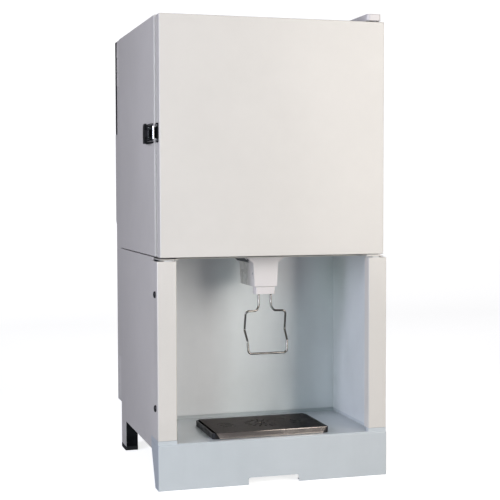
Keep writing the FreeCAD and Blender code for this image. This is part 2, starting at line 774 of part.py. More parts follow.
def mains_inlet():
    """Three-pin inlet in the rear cover's lower back."""
    x0, x1, z0, z1 = INLET_HOLE
    rear = deep(D["cover_shallow"])
    body = new_body("mains_inlet")
    pad(body, "XZ", rear - 22.0, rear, rect(x0 + 0.3, z0 + 0.3, x1 - 0.3, z1 - 0.3))
    pad(body, "XZ", rear + 0.1, rear + 2.2, rect(x0 - 3.0, z0 - 3.0, x1 + 3.0, z1 + 3.0))
    pad(body, "XZ", rear - 1.0, rear + 0.2, rect(x0 + 0.3, z0 + 0.3, x1 - 0.3, z1 - 0.3))
    pocket(body, "XZ", rear - 14.0, rear + 3.0, rect(x0 + 3.0, z0 + 3.0, x1 - 3.0, z1 - 3.0))
    middle_x, middle_z = (x0 + x1) / 2.0, (z0 + z1) / 2.0
    for dx, dz in ((-7.0, -2.0), (0.0, 2.5), (7.0, -2.0)):
        blade = rect(middle_x + dx - 1.0, middle_z + dz - 2.0, middle_x + dx + 1.0, middle_z + dz + 2.0)
        pad(body, "XZ", rear - 15.0, rear - 3.0, blade)
    keep(body, "mains_inlet")


SWITCH_Z = (SWITCH_HOLE[2] + SWITCH_HOLE[3]) / 2.0


def switch_housing():
    x0, x1, z0, z1 = SWITCH_HOLE
    rear = deep(D["cover_shallow"])
    body = new_body("switch_housing")
    pad(body, "XZ", rear - 20.0, rear + 0.2, rect(x0 + 0.3, z0 + 0.3, x1 - 0.3, z1 - 0.3))
    pad(body, "XZ", rear + 0.1, rear + 1.8, rect(x0 - 2.0, z0 - 2.0, x1 + 2.0, z1 + 2.0))
    pocket(body, "XZ", rear - 10.0, rear + 3.0, rect(x0 + 3.0, z0 + 2.5, x1 - 3.0, z1 - 2.5))
    drill(body, "YZ", x0 + 1.4, x1 - 1.4, rear - 3.0, SWITCH_Z, 1.56)
    keep(body, "switch_housing")


def power_rocker():
    """Rocker with a shallow V face, which tips about a horizontal axis."""
    x0, x1, z0, z1 = SWITCH_HOLE
    rear = deep(D["cover_shallow"])
    low, high = z0 + 4.4, z1 - 4.4
    face = [(rear - 3.0, low), (rear + 3.6, low), (rear + 1.6, SWITCH_Z), (rear + 3.6, high)]
    face += [(rear - 3.0, high), (rear - 7.0, SWITCH_Z)]
    body = new_body("power_rocker")
    pad(body, "YZ", x0 + 3.6, x1 - 3.6, face)
    boss(body, "YZ", x0 + 1.8, x1 - 1.8, rear - 3.0, SWITCH_Z, 1.5)
    keep(body, "power_rocker")


# ---------------------------------------------------------------- door and hinges


def door_skin():
    wide, low, high = D["door_width"] / 2.0, D["door_bottom"], D["door_top"]
    front, rear = deep(D["door_set"]), deep(D["door_set"] + D["door_thick"])
    body = new_body("door_skin")
    pad(body, "XZ", front, rear, rect(-wide, low, wide, high))
    round_edges(body, 1.5, dict(x=-wide, y=front), dict(x=wide, y=front))
    round_edges(body, 1.3, dict(y=front, z=low), dict(y=front, z=high))
    hollow(body, D["thin_sheet"], dict(y=rear))
    for z in (low, high):
        drill(body, "XY", z - 2.0, z + 2.0, D["hinge_x"], deep(D["hinge_set"]), 5.0)
    keep(body, "door_skin")


def door_liner():
    """Inner door panel with a pressed recess."""
    wide = D["door_width"] / 2.0 - D["thin_sheet"] - 0.3
    low, high = D["door_bottom"] + 1.4, D["door_top"] - 1.4
    rear = deep(D["door_set"] + D["door_thick"])
    dish, dish_low, dish_high = 150.0, 378.0, 678.0
    body = new_body("door_liner")
    pad(body, "XZ", rear - 1.2, rear, rect(-wide, low, wide, high))
    pad(body, "XZ", rear - 10.0, rear - 1.0, rect(-dish, dish_low, dish, dish_high))
    well = rect(-dish + 1.2, dish_low + 1.2, dish - 1.2, dish_high - 1.2)
    pocket(body, "XZ", rear - 8.8, rear + 1.0, well)
    keep(body, "door_liner")


def door_insulation():
    wide = D["door_width"] / 2.0 - D["thin_sheet"] - 0.2
    low, high = D["door_bottom"] + 1.2, D["door_top"] - 1.2
    front = deep(D["door_set"]) + 1.2
    rear = front + D["door_thick"] - 2.5
    foam = block(-wide, wide, front, rear, low, high)
    dish = block(-150.2, 150.2, rear - 9.0, rear + 1.0, 377.8, 678.2)
    tunnel = rod("Z", low - 1.0, high + 1.0, D["hinge_x"], deep(D["hinge_set"]), 5.4)
    left = block(-wide - 1.0, -wide + 2.0, front - 1.0, front + 2.0, low - 1.0, high + 1.0)
    right = block(wide - 2.0, wide + 1.0, front - 1.0, front + 2.0, low - 1.0, high + 1.0)
    keep(cut(foam, dish, tunnel, left, right), "door_insulation")


def door_gasket():
    """Rubber seal ring on the back of the door, with a bellows groove."""
    front = deep(D["door_set"] + D["door_thick"])
    rear = front + D["gasket_thick"]
    body = new_body("door_gasket")
    outer, inner = 165.0, 157.0
    low, high = 363.5, 694.5
    pad(body, "XZ", front, rear, rect(-outer, low, outer, high))
    inset = outer - inner
    pocket(body, "XZ", front - 1.0, rear + 1.0, rect(-inner, low + inset, inner, high - inset))
    round_edges(body, 2.4, dict(x=-outer, y=rear), dict(x=outer, y=rear), dict(y=rear, z=low))
    keep(body, "door_gasket")


def hinge_bushes():
    x, y = D["hinge_x"], deep(D["hinge_set"])
    spans = ((D["door_top"] - 16.0, D["door_top"] + 0.3), (D["door_bottom"] - 0.3, D["door_bottom"] + 16.0))
    bushes = []
    for low, high in spans:
        sleeve = rod("Z", low, high, x, y, 4.98)
        bore = rod("Z", low - 1.0, high + 1.0, x, y, D["hinge_pin_r"] + 0.06)
        bushes.append(cut(sleeve, bore))
    keep(group(*bushes), "hinge_bushes")


TOP_PLATE = (709.2, 711.2)
LOW_PLATE = (345.9, 347.5)


def top_hinge_bracket():
    body = new_body("top_hinge_bracket")
    low, high = TOP_PLATE
    pad(body, "XY", low, high, rect(152.0, deep(6.0), 170.5, deep(89.6)))
    round_edges(body, 4.0, dict(x=152.0, y=deep(6.0)), dict(x=170.5, y=deep(6.0)))
    drill(body, "XY", low - 1.0, high + 1.0, D["hinge_x"], deep(D["hinge_set"]), D["hinge_pin_r"])
    for set_back in TOP_SCREWS:
        drill(body, "XY", low - 1.0, high + 1.0, 161.0, deep(set_back), 2.2)
    keep(body, "top_hinge_bracket")


TOP_SCREWS = (50.0, 76.0)


def bottom_hinge_bracket():
    body = new_body("bottom_hinge_bracket")
    low, high = LOW_PLATE
    pad(body, "XY", low, high, rect(151.0, deep(4.4), 174.0, deep(70.0)))
    round_edges(body, 3.0, dict(x=151.0, y=deep(4.4)), dict(x=174.0, y=deep(4.4)))
    drill(body, "XY", low - 1.0, high + 1.0, D["hinge_x"], deep(D["hinge_set"]), D["hinge_pin_r"])
    keep(body, "bottom_hinge_bracket")


def hinge_fasteners():
    """Hinge pins, riveted in the brackets, and the screws of the top bracket."""
    x, y, r = D["hinge_x"], deep(D["hinge_set"]), D["hinge_pin_r"]
    pins = [rod("Z", D["door_top"] - 14.0, TOP_PLATE[1], x, y, r)]
    pins.append(rod("Z", LOW_PLATE[0], D["door_bottom"] + 14.0, x, y, r))
    top = TOP_PLATE[1]
    screws = [screw("Z", top, 1.0, 161.0, deep(y), 4.0, 2.0, 2.1, 1.9) for y in TOP_SCREWS]
    keep(group(*pins, *screws), "hinge_fasteners")


def top_hinge_cap():
    """Plastic cover over the top hinge, with a rounded front corner."""
    low, high, wall = 709.3, 719.5, 1.7
    x0, x1, y0, y1 = 149.5, 172.4, deep(3.0), deep(92.0)
    body = new_body("top_hinge_cap")
    pad(body, "XY", low, high, rect(x0, y0, x1, y1))
    round_edges(body, 6.0, dict(x=x0, y=y0))
    round_edges(body, 3.0, dict(x=x1, y=y0), dict(x=x0, y=y1), dict(x=x1, y=y1))
    round_edges(body, 1.5, dict(x=x0, z=high))
    room = new_body("hinge_cap_room")
    left, right, front, rear = x0 + wall, x1 - wall, y0 + wall, y1 - wall
    pad(room, "XY", low - 1.0, high - wall, rect(left, front, right, rear))
    round_edges(room, 4.3, dict(x=left, y=front))
    round_edges(room, 1.3, dict(x=right, y=front), dict(x=left, y=rear), dict(x=right, y=rear))
    keep(cut(body, room), "top_hinge_cap")


# ---------------------------------------------------------------- latch


def latch_base():
    """Plate on the cabinet side with two ears for the lever's pin."""
    face = -HALF
    z = D["latch_z"]
    body = new_body("latch_base")
    pad(body, "YZ", face - 2.0, face, rect(deep(35.0), z - 15.0, deep(86.0), z + 15.0))
    corners = [dict(y=deep(v), z=z + s) for v in (35.0, 86.0) for s in (-15.0, 15.0)]
    round_edges(body, 4.0, *corners)
    pivot = deep(D["latch_pivot_set"])
    ear = [(face, pivot - 4.0), (face - D["latch_pivot_out"] - 2.6, pivot - 2.6)]
    ear += [(face - D["latch_pivot_out"] - 2.6, pivot + 2.6), (face, pivot + 4.0)]
    for low in (z - 8.6, z + 5.6):
        pad(body, "XY", low, low + 3.0, ear)
    drill(body, "XY", z - 10.0, z + 10.0, face - D["latch_pivot_out"], pivot, 1.5)
    for low in LATCH_SCREWS:
        drill(body, "YZ", face - 3.0, face + 1.0, deep(low), z, 1.8)
    keep(body, "latch_base")


LATCH_SCREWS = (68.0, 79.0)


def latch_fasteners():
    """The lever's pin and the base's screws."""
    face = -HALF - 2.0
    z = D["latch_z"]
    x, y = -HALF - D["latch_pivot_out"], deep(D["latch_pivot_set"])
    pin = rod("Z", z - 8.8, z + 8.8, x, y, 1.5)
    screws = [screw("X", face, -1.0, deep(y), z, 3.0, 1.2, 1.7, 6.0) for y in LATCH_SCREWS]
    keep(group(pin, *screws), "latch_fasteners")


def latch_lever():
    """Draw-latch handle: a web on the pin, and a cover plate to pull."""
    z = D["latch_z"]
    x, y = -HALF - D["latch_pivot_out"], deep(D["latch_pivot_set"])
    bail_x, bail_y = -HALF - D["bail_out"], deep(D["bail_pivot_set"])
    outer = x - 4.5
    body = new_body("latch_lever")
    boss(body, "XY", z - 5.2, z + 5.2, x, y, 3.0)
    web = [(x - 3.0, y), (outer, y + 2.0), (outer, y + 12.0), (x + 1.9, y + 12.0), (x + 3.0, y)]
    pad(body, "XY", z - 5.2, z + 5.2, web)
    plate = rect(outer, y + 8.8, outer + 3.0, y + 23.0)
    pad(body, "XY", z - 15.0, z + 15.0, plate)
    round_edges(body, 6.0, dict(y=y + 23.0, z=z + 15.0))
    round_edges(body, 2.0, dict(y=y + 23.0, z=z - 15.0))
    drill(body, "XY", z - 8.0, z + 8.0, x, y, 1.56)
    drill(body, "XY", z - 8.0, z + 8.0, bail_x, bail_y, D["bail_wire_r"] + 0.06)
    keep(body, "latch_lever")


def latch_bail():
    """Chrome wire loop, hooked through the lever's web, that reaches over the keeper."""
    z = D["latch_z"].value
    x = (-HALF - D["bail_out"]).value
    rear, front = deep(D["bail_pivot_set"]).value, deep(12.5).value
    points = [(x, rear, z), (x, rear, z + 11.0), (x, front, z + 12.0)]
    points += [(x, front, z - 12.0), (x, rear, z - 11.0)]
    shape = bent_loop(points, D["bail_wire_r"].value)
    keep(direct(shape), "latch_bail")


def bent_loop(points, radius):
    """A closed wire loop that starts and ends in the middle of its first straight run."""
    start = Vector(*points[0])
    closed = [tuple(start)] + list(points[1:]) + [tuple(start)]
    return bent_wire(closed, 3.4, radius)


def latch_keeper():
    """Hook on the door's side for the bail."""
    face = -D["door_width"] / 2.0
    z = D["latch_z"]
    body = new_body("latch_keeper")
    pad(body, "YZ", face - 1.6, face, rect(deep(9.0), z - 14.5, deep(23.0), z + 14.5))
    corners = [dict(y=deep(v), z=z + s) for v in (9.0, 23.0) for s in (-14.5, 14.5)]
    round_edges(body, 3.0, *corners)
    hook = [(face, deep(20.0)), (face - 4.0, deep(17.5)), (face - 5.3, deep(14.0))]
    hook += [(face - 4.4, deep(14.0)), (face - 1.5, deep(16.0)), (face, deep(16.0))]
    pad(body, "XY", z - 8.0, z + 8.0, hook)
    for low in (z - 10.6, z + 10.6):
        drill(body, "YZ", face - 3.0, face + 1.0, deep(11.5), low, 1.3)
    keep(body, "latch_keeper")


def keeper_screws():
    face = -D["door_width"] / 2.0 - 1.6
    z = D["latch_z"]
    screws = [screw("X", face, -1.0, deep(11.5), z + s, 2.2, 0.9, 1.2, 2.4) for s in (-10.6, 10.6)]
    keep(group(*screws), "keeper_screws")


# ---------------------------------------------------------------- dispensing head


FLARE = 30.0


def head_housing():
    """Tapered plastic box with a flared flange under the bay ceiling."""
    low, waist, top = D["head_low"], D["head_waist"], D["head_top"]
    half, front, rear = D["head_half"], deep(D["head_front"]), deep(D["head_rear"])
    wide = half + 2.0
    body = new_body("head_housing")
    shape = [(-half, low), (half, low), (wide, waist), (wide, top), (-wide, top), (-wide, waist)]
    pad(body, "XZ", front, rear, shape)
    flare = [(-wide, waist), (wide, waist), (FLARE, top - 1.0), (FLARE, top)]
    flare += [(-FLARE, top), (-FLARE, top - 1.0)]
    pad(body, "XZ", front, rear + 20.0, flare)
    corners = [dict(y=front, z=low), dict(y=rear, z=low)]
    round_edges(body, 1.2, *corners)
    inner = [(-half + 2.2, low + 2.0), (half - 2.2, low + 2.0), (wide - 2.2, waist)]
    inner += [(wide - 2.2, top + 1.0), (-wide + 2.2, top + 1.0), (-wide + 2.2, waist)]
    pocket(body, "XZ", front + 2.0, rear - 2.2, inner)
    mouth = rect(-13.7, front + 4.1, 13.7, front + 18.2)
    pocket(body, "XY", low - 1.0, low + 3.0, mouth)
    pad(body, "XZ", front + 1.0, front + 7.6, rect(-7.4, 300.4, 7.4, 306.0))
    seat = deep(SPRING_SEAT)
    pad(body, "XZ", seat, seat + 2.0, rect(-17.0, low + 1.0, 17.0, 312.0))
    axis_y, axis_z = deep(D["lever_set"]), D["lever_z"]
    drill(body, "YZ", -22.0, 22.0, axis_y, axis_z, 2.0)
    for x in (-25.0, 25.0):
        for y in HEAD_SCREWS:
            drill(body, "XY", waist + 3.0, top + 1.0, x, deep(y), 1.6)
            drill(body, "XY", waist - 1.0, waist + 5.0, x, deep(y), 2.6)
    keep(body, "head_housing")


SPRING_SEAT = 96.0
HEAD_SCREWS = (62.0, 144.0)


def head_screws():
    """Black screws that hold the head's flange to the ceiling."""
    face = D["head_waist"] + 5.0
    screws = [
        screw("Z", face, -1.0, x, deep(y), 2.4, 1.6, 1.5, 5.0)
        for x in (-25.0, 25.0)
        for y in HEAD_SCREWS
    ]
    keep(group(*screws), "head_screws")


def nozzle_collar():
    """Short sleeve round the tube's end and the lever's legs."""
    low, high = 285.6, D["head_low"]
    front = deep(D["head_front"]) + 2.3
    body = new_body("nozzle_collar")
    pad(body, "XY", low, high, rect(-15.5, front, 15.5, front + 17.7))
    corners = [dict(x=x, y=y) for x in (-15.5, 15.5) for y in (front, front + 17.7)]
    round_edges(body, 1.4, *corners)
    pocket(body, "XY", low - 1.0, high + 1.0, rect(-13.7, front + 1.8, 13.7, front + 15.9))
    keep(body, "nozzle_collar")


def head_catch():
    """Ribbed catch that slides along the left slope of the flange."""
    waist, top = D["head_waist"], D["head_top"]
    wide = D["head_half"] + 2.0
    run_x, run_z = FLARE - wide.value, top.value - 1.0 - waist.value
    length = math.hypot(run_x, run_z)
    along = (run_x / length, run_z / length)
    out = (along[1], -along[0])

    def on_slope(distance, lift):
        u = -wide - (along[0] * distance + out[0] * lift)
        return u, waist + (along[1] * distance + out[1] * lift)

    low_end, high_end = 1.0, length - 1.2
    plate = [on_slope(low_end, 0.35), on_slope(high_end, 0.35)]
    plate += [on_slope(high_end, 1.5), on_slope(low_end, 1.5)]
    body = new_body("head_catch")
    pad(body, "XZ", deep(72.0), deep(134.0), plate)
    rib = [on_slope(low_end + 1.0, 1.4), on_slope(high_end - 1.0, 1.4)]
    rib += [on_slope(high_end - 1.5, 2.3), on_slope(low_end + 1.5, 2.3)]
    for k in range(12):
        start = 75.0 + 4.7 * k
        pad(body, "XZ", deep(start), deep(start + 2.2), rib)
    keep(body, "head_catch")


def lever_pin():
    """Two stub pins, one in each side of the head, that leave room for the tube."""
    y, z = deep(D["lever_set"]), D["lever_z"]
    keep(group(rod("X", -19.4, -7.6, y, z, 2.0), rod("X", 7.6, 19.4, y, z, 2.0)), "lever_pin")


def lever_yoke():
    """Fork that hangs on the pin, carries the wire and presses its bar on the tube."""
    y, z = deep(D["lever_set"]), D["lever_z"]
    low = z - 17.2
    body = new_body("lever_yoke")
    for inner, outer in ((-12.1, -8.0), (8.0, 12.1)):
        arm = [(y - 4.6, z), (y - 4.6, low), (y + 8.0, low), (y + 8.0, low + 6.4)]
        arm += [(y + 4.8, z)]
        pad(body, "YZ", inner, outer, arm)
        boss(body, "YZ", inner, outer, y, z, 4.8)
    bar = rect(y + 3.5, low, y + 8.0, low + 6.0)
    pad(body, "YZ", -12.1, 12.1, bar)
    drill(body, "YZ", -13.0, 13.0, y, z, 2.06)
    for x in (-D["leg_half"], D["leg_half"]):
        drill(body, "XY", low - 1.0, low + 11.0, x, deep(D["wire_set"]), D["wire_r"])
    keep(body, "lever_yoke")


def cup_lever():
    """Bent wire loop that the cup pushes back."""
    leg_x = D["leg_half"].value
    set_back = D["wire_set"].value
    half = [
        (leg_x, set_back, 311.6),
        (leg_x, set_back, 264.0),
        (14.0, 53.0, 257.2),
        (32.6, 51.0, 256.6),
        (32.9, 57.5, 230.0),
        (32.3, 42.5, 214.0),
        (30.4, 41.0, 193.6),
    ]
    right = [(x, deep(y).value, z) for x, y, z in half]
    left = [(-x, y, z) for x, y, z in reversed(right)]
    shape = bent_wire(right + left, LEVER_BEND, D["wire_r"].value)
    keep(direct(shape), "cup_lever")


LEVER_BEND = 5.5


def product_tube():
    """Silicone tube from the bag, flattened where the yoke's bar pinches it."""
    y, r = deep(D["tube_set"]), D["tube_r"]
    bore = r - 1.5
    lower = cut(rod("Z", 288.0, 297.0, 0.0, y, r), rod("Z", 287.0, 296.0, 0.0, y, bore))
    neck = block(-7.0, 7.0, y - 3.2, y + 0.1, 296.9, 311.1)
    upper = cut(rod("Z", 311.0, 386.0, 0.0, y, r), rod("Z", 312.0, 391.0, 0.0, y, bore))
    flange = cut(rod("Z", 372.0, 375.0, 0.0, y, 13.0), rod("Z", 370.0, 377.0, 0.0, y, bore))
    keep(fuse(lower, neck, upper, flange), "product_tube")


def return_spring():
    """Compression spring between the yoke's bar and the seat in the head."""
    start = deep(D["lever_set"]).value + 8.0
    end = deep(SPRING_SEAT).value
    wire, coil = 0.5, 2.8
    length = end - start - 2.0 * wire - 0.4
    turns = 7
    helix = Part.makeHelix(length / turns, length, coil)
    ring = Part.Wire([Part.Circle(Vector(coil, 0, 0), Vector(0, 1, 0), wire).toShape()])
    shape = Part.Wire(helix).makePipeShell([ring], True, True)
    feature = direct(shape)
    base = Vector(0, start + wire + 0.2, (D["lever_z"] - 14.0).value)
    feature.Placement = Placement(base, Rotation(Vector(1, 0, 0), -90))
    keep(feature, "return_spring")


# ---------------------------------------------------------------- inside the cabinet


def bag_rack():
    """Sloped shelf on two cheeks, which lets the bag drain towards the tube."""
    low = D["liner_low"] + 1.2
    front, rear = deep(80.0), deep(254.0)
    shelf = [(front, low + 12.0), (rear, low + 96.0), (rear, low + 97.5), (front, low + 13.5)]
    cheek = [(front, low), (rear, low), (rear, low + 112.0), (front, low + 28.0)]
    body = new_body("bag_rack")
    pad(body, "YZ", -148.0, 148.0, shelf)
    for x in (-149.2, 148.0):
        pad(body, "YZ", x - 0.1, x + 1.3, cheek)
    keep(body, "bag_rack")


def air_baffle():
    """Inner rear sheet with the fan opening and rows of air slots."""
    wide = D["liner_half"] - 2.0
    front = deep(260.0)
    low, high = D["liner_low"] + 2.4, D["liner_high"] - 2.4
    sheet = block(-wide, wide, front, front + 1.0, low, high)
    mouth = rod("Y", front - 1.0, front + 2.0, 0.0, D["fan_z"], 36.0)
    slots = [
        block(x0, x0 + 5.0, front - 1.0, front + 2.0, z0, z0 + 34.0)
        for z0 in (low + 8.0, high - 42.0)
        for x0 in [-140.0 + 15.0 * k for k in range(19)]
    ]
    keep(cut(sheet, mouth, *slots), "air_baffle")


def heater_element():
    """Serpentine rod heater below the fan."""
    y = deep(273.0).value
    points = [(-125.0, deep(283.6).value, 400.0), (-125.0, y, 400.0), (120.0, y, 400.0)]
    for level in (430.0, 460.0):
        last = points[-1]
        points.append((last[0], y, level))
        points.append((-last[0], y, level))
    points.append((points[-1][0], deep(283.6).value, 460.0))
    keep(direct(bent_wire(points, 6.0, 3.2)), "heater_element")


def fan_motor():
    """Motor behind the liner with its shaft and mounting plate."""
    rear = deep(D["liner_rear"])
    z = D["fan_z"]
    can = rod("Y", rear + 0.4, rear + 36.0, 0.0, z, 30.0)
    cap = rod("Y", rear + 36.0, rear + 44.0, 0.0, z, 14.0)
    shaft = rod("Y", deep(264.0), rear + 1.0, 0.0, z, 3.0)
    keep(fuse(can, cap, shaft), "fan_motor")


def fan_rotor():
    """Six-blade rotor that runs on the motor shaft."""
    z = D["fan_z"]
    front, rear = deep(266.0), deep(279.0)
    hub = rod("Y", front, rear, 0.0, z, 11.0)
    blades = []
    for k in range(6):
        blade = doc.addObject("Part::Box", "blade")
        blade.Length, blade.Width, blade.Height = 16.0, 1.6, 24.5
        turn = Rotation(Vector(0, 1, 0), 60.0 * k)
        twist = Rotation(Vector(0, 0, 1), 30.0)
        corner = turn.multVec(Vector(0, 0, 9.5) + twist.multVec(Vector(-8.0, -0.8, 0)))
        blade.Placement = Placement(corner, turn * twist)
        blades.append(blade)
    ring = fuse(*blades)
    bind(ring, "Placement.Base.y", (front + rear) / 2.0)
    bind(ring, "Placement.Base.z", z)
    bore = rod("Y", front - 1.0, rear + 1.0, 0.0, z, 3.06)
    keep(cut(fuse(hub, ring), bore), "fan_rotor")


def thermostat():
    """Capillary bulb in two clips on the baffle."""
    y, z = deep(254.0), D["liner_high"] - 60.0
    bulb = rod("X", -40.0, 40.0, y, z, 3.5)
    clips = [block(x, x + 5.0, y - 4.6, deep(259.9), z - 4.6, z + 4.6) for x in (-30.0, 25.0)]
    keep(fuse(bulb, *clips), "thermostat")


def control_box():
    """Closed box for the controller and terminals, on the base pan behind the bay."""
    low = D["panel_low"] + 1.8
    body = new_body("control_box")
    pad(body, "XY", low, low + 110.0, rect(-70.0, deep(190.0), 50.0, deep(270.0)))
    hollow(body, 1.5, dict(y=deep(270.0)))
    keep(body, "control_box")


# ---------------------------------------------------------------- drip tray


def drip_tray():
    left, right = -D["tray_left"], D["tray_right"]
    front, rear = deep(D["tray_front"]) + 3.0, deep(D["tray_rear"])
    low, high = D["floor_top"] + 0.3, D["tray_top"] - 1.3
    body = new_body("drip_tray")
    pad(body, "XY", low, high, rect(left, front, right, rear))
    corners = [dict(x=x, y=y) for x in (left, right) for y in (front, rear)]
    round_edges(body, 4.0, *corners)
    hollow(body, 2.0, dict(z=high))
    keep(body, "drip_tray")


def slot_block(x, y, z, long, wide, angle):
    """A cutter for one slot, turned about its own middle."""
    box = doc.addObject("Part::Box", "slot")
    box.Length, box.Width, box.Height = long, wide, 6.0
    turn = Rotation(Vector(0, 0, 1), angle)
    corner = Vector(x, y, z) + turn.multVec(Vector(-long / 2.0, -wide / 2.0, -3.0))
    box.Placement = Placement(corner, turn)
    return box


def drip_tray_cover():
    """Steel cover with a rosette of radial slots, side slots and a tapered front flange."""
    left, right = -D["tray_left"] + 4.5, D["tray_right"] - 4.5
    front, rear, top = deep(D["tray_front"]), deep(D["tray_rear"]) - 1.0, D["tray_top"]
    body = new_body("drip_tray_cover")
    pad(body, "XY", top - 1.0, top, rect(left, front, right, rear))
    flange = [(left, top), (right, top), (right - 6.0, top - 9.6), (left + 6.0, top - 9.6)]
    pad(body, "XZ", front, front + 1.0, flange)
    round_edges(body, 0.9, dict(y=front, z=top))
    middle_x = ((left + right) / 2.0).value
    middle_y = ((front + rear) / 2.0).value
    height = top.value
    cutters = [rod("Z", height - 3.0, height + 2.0, middle_x, middle_y, 5.5)]
    for count, reach, long, wide in ((10, 12.5, 8.0, 2.4), (16, 23.0, 9.0, 2.6)):
        for k in range(count):
            angle = 360.0 / count * k
            x = middle_x + reach * math.cos(math.radians(angle))
            y = middle_y + reach * math.sin(math.radians(angle))
            cutters.append(slot_block(x, y, height, long, wide, angle))
    for side in (-1.0, 1.0):
        for k in (-1.0, 0.0, 1.0):
            x = middle_x + side * (58.0 + 1.5 * k)
            y = middle_y + 11.0 * k
            cutters.append(slot_block(x - 5.2, y, height, 13.0, 2.6, 22.0))
            cutters.append(slot_block(x + 5.2, y, height, 13.0, 2.6, -22.0))
    keep(cut(body, *cutters), "drip_tray_cover")


# ---------------------------------------------------------------- build and export


def build():
    outer_shell()
    front_frame()
    inner_liner()
    insulation()
    cabinet_floor()
    back_panel()
    divider_panel()
    for side, word in ((-1.0, "left"), (1.0, "right")):
        side_panel(side, word + "_side_panel")
        pillar(side, word + "_pillar")
        bay_wall(side, "bay_" + word + "_wall")
        rear_leg(side, word + "_rear_leg")
    pillar_screws()
    front_skirt()
    base_pan()
    bay_back_wall()
    bay_floor()
    leg_caps()
    rear_cover()
    rear_grille()
    rear_screws()
    mains_inlet()
    switch_housing()
    power_rocker()
    door_skin()
    door_liner()
    door_insulation()
    door_gasket()
    hinge_bushes()
    top_hinge_bracket()
    bottom_hinge_bracket()
    hinge_fasteners()
    top_hinge_cap()
    latch_base()
    latch_fasteners()
    latch_lever()
    latch_bail()
    latch_keeper()
    keeper_screws()
    head_housing()
    head_screws()
    nozzle_collar()
    head_catch()
    lever_pin()
    lever_yoke()
    cup_lever()
    product_tube()
    return_spring()
    bag_rack()
    air_baffle()
    heater_element()
    fan_motor()
    fan_rotor()
    thermostat()
    control_box()
    drip_tray()
    drip_tray_cover()


def check():
    """Stops on any failed object, empty cut or invalid sub-part."""
    for thing in doc.Objects:
        if "Invalid" in thing.State or "Error" in thing.State:
            raise RuntimeError(f"{thing.Name} ({thing.TypeId}) failed: {thing.State}")
        if thing.TypeId == "PartDesign::Pocket":
            before, after = thing.BaseFeature.Shape.Volume, thing.Shape.Volume
            if after > before - 0.01:
                raise RuntimeError(f"{thing.Name} in {thing.getParentGeoFeatureGroup().Name} cuts nothing")
    labels = [node.Label for node in NODES]
    if len(labels) != len(set(labels)) or len(labels) > 60:
        raise RuntimeError(f"{len(labels)} sub-parts, or a name used twice")
    for node in NODES:
        shape = node.Shape
        if shape.isNull() or not shape.isValid() or not shape.Solids:
            raise RuntimeError(f"{node.Label} has no valid solid")


def export():
    os.makedirs("parts", exist_ok=True)
    for old in os.listdir("parts"):
        os.remove(os.path.join("parts", old))
    for node in NODES:
        node.Shape.exportStep(f"parts/{node.Label}.step")
        print(f"{node.Label:22s} solids {len(node.Shape.Solids)} volume {node.Shape.Volume:10.0f}")


build()
doc.recompute()
check()
export()
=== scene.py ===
import json
import math

import bmesh
import bpy
from mathutils import Matrix, Vector


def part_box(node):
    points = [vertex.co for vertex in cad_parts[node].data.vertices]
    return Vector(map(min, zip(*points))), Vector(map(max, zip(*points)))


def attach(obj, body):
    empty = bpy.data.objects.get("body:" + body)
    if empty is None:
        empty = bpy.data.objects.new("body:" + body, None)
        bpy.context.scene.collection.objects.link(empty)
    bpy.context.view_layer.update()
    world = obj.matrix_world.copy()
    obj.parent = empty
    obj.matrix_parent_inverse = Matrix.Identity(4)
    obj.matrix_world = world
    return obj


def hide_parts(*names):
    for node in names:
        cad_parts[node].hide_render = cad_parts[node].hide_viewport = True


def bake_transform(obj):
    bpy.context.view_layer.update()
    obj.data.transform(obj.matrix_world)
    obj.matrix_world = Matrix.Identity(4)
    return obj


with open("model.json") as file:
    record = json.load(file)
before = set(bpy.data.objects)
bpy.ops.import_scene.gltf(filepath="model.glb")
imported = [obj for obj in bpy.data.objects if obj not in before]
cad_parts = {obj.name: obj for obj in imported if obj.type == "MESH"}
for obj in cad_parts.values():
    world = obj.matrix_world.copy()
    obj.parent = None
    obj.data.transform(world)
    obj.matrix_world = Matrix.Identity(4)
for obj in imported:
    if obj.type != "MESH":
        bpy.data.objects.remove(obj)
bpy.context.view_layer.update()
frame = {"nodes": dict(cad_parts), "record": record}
nodes = frame["nodes"]

# ------------------------------------------------------------ node helpers


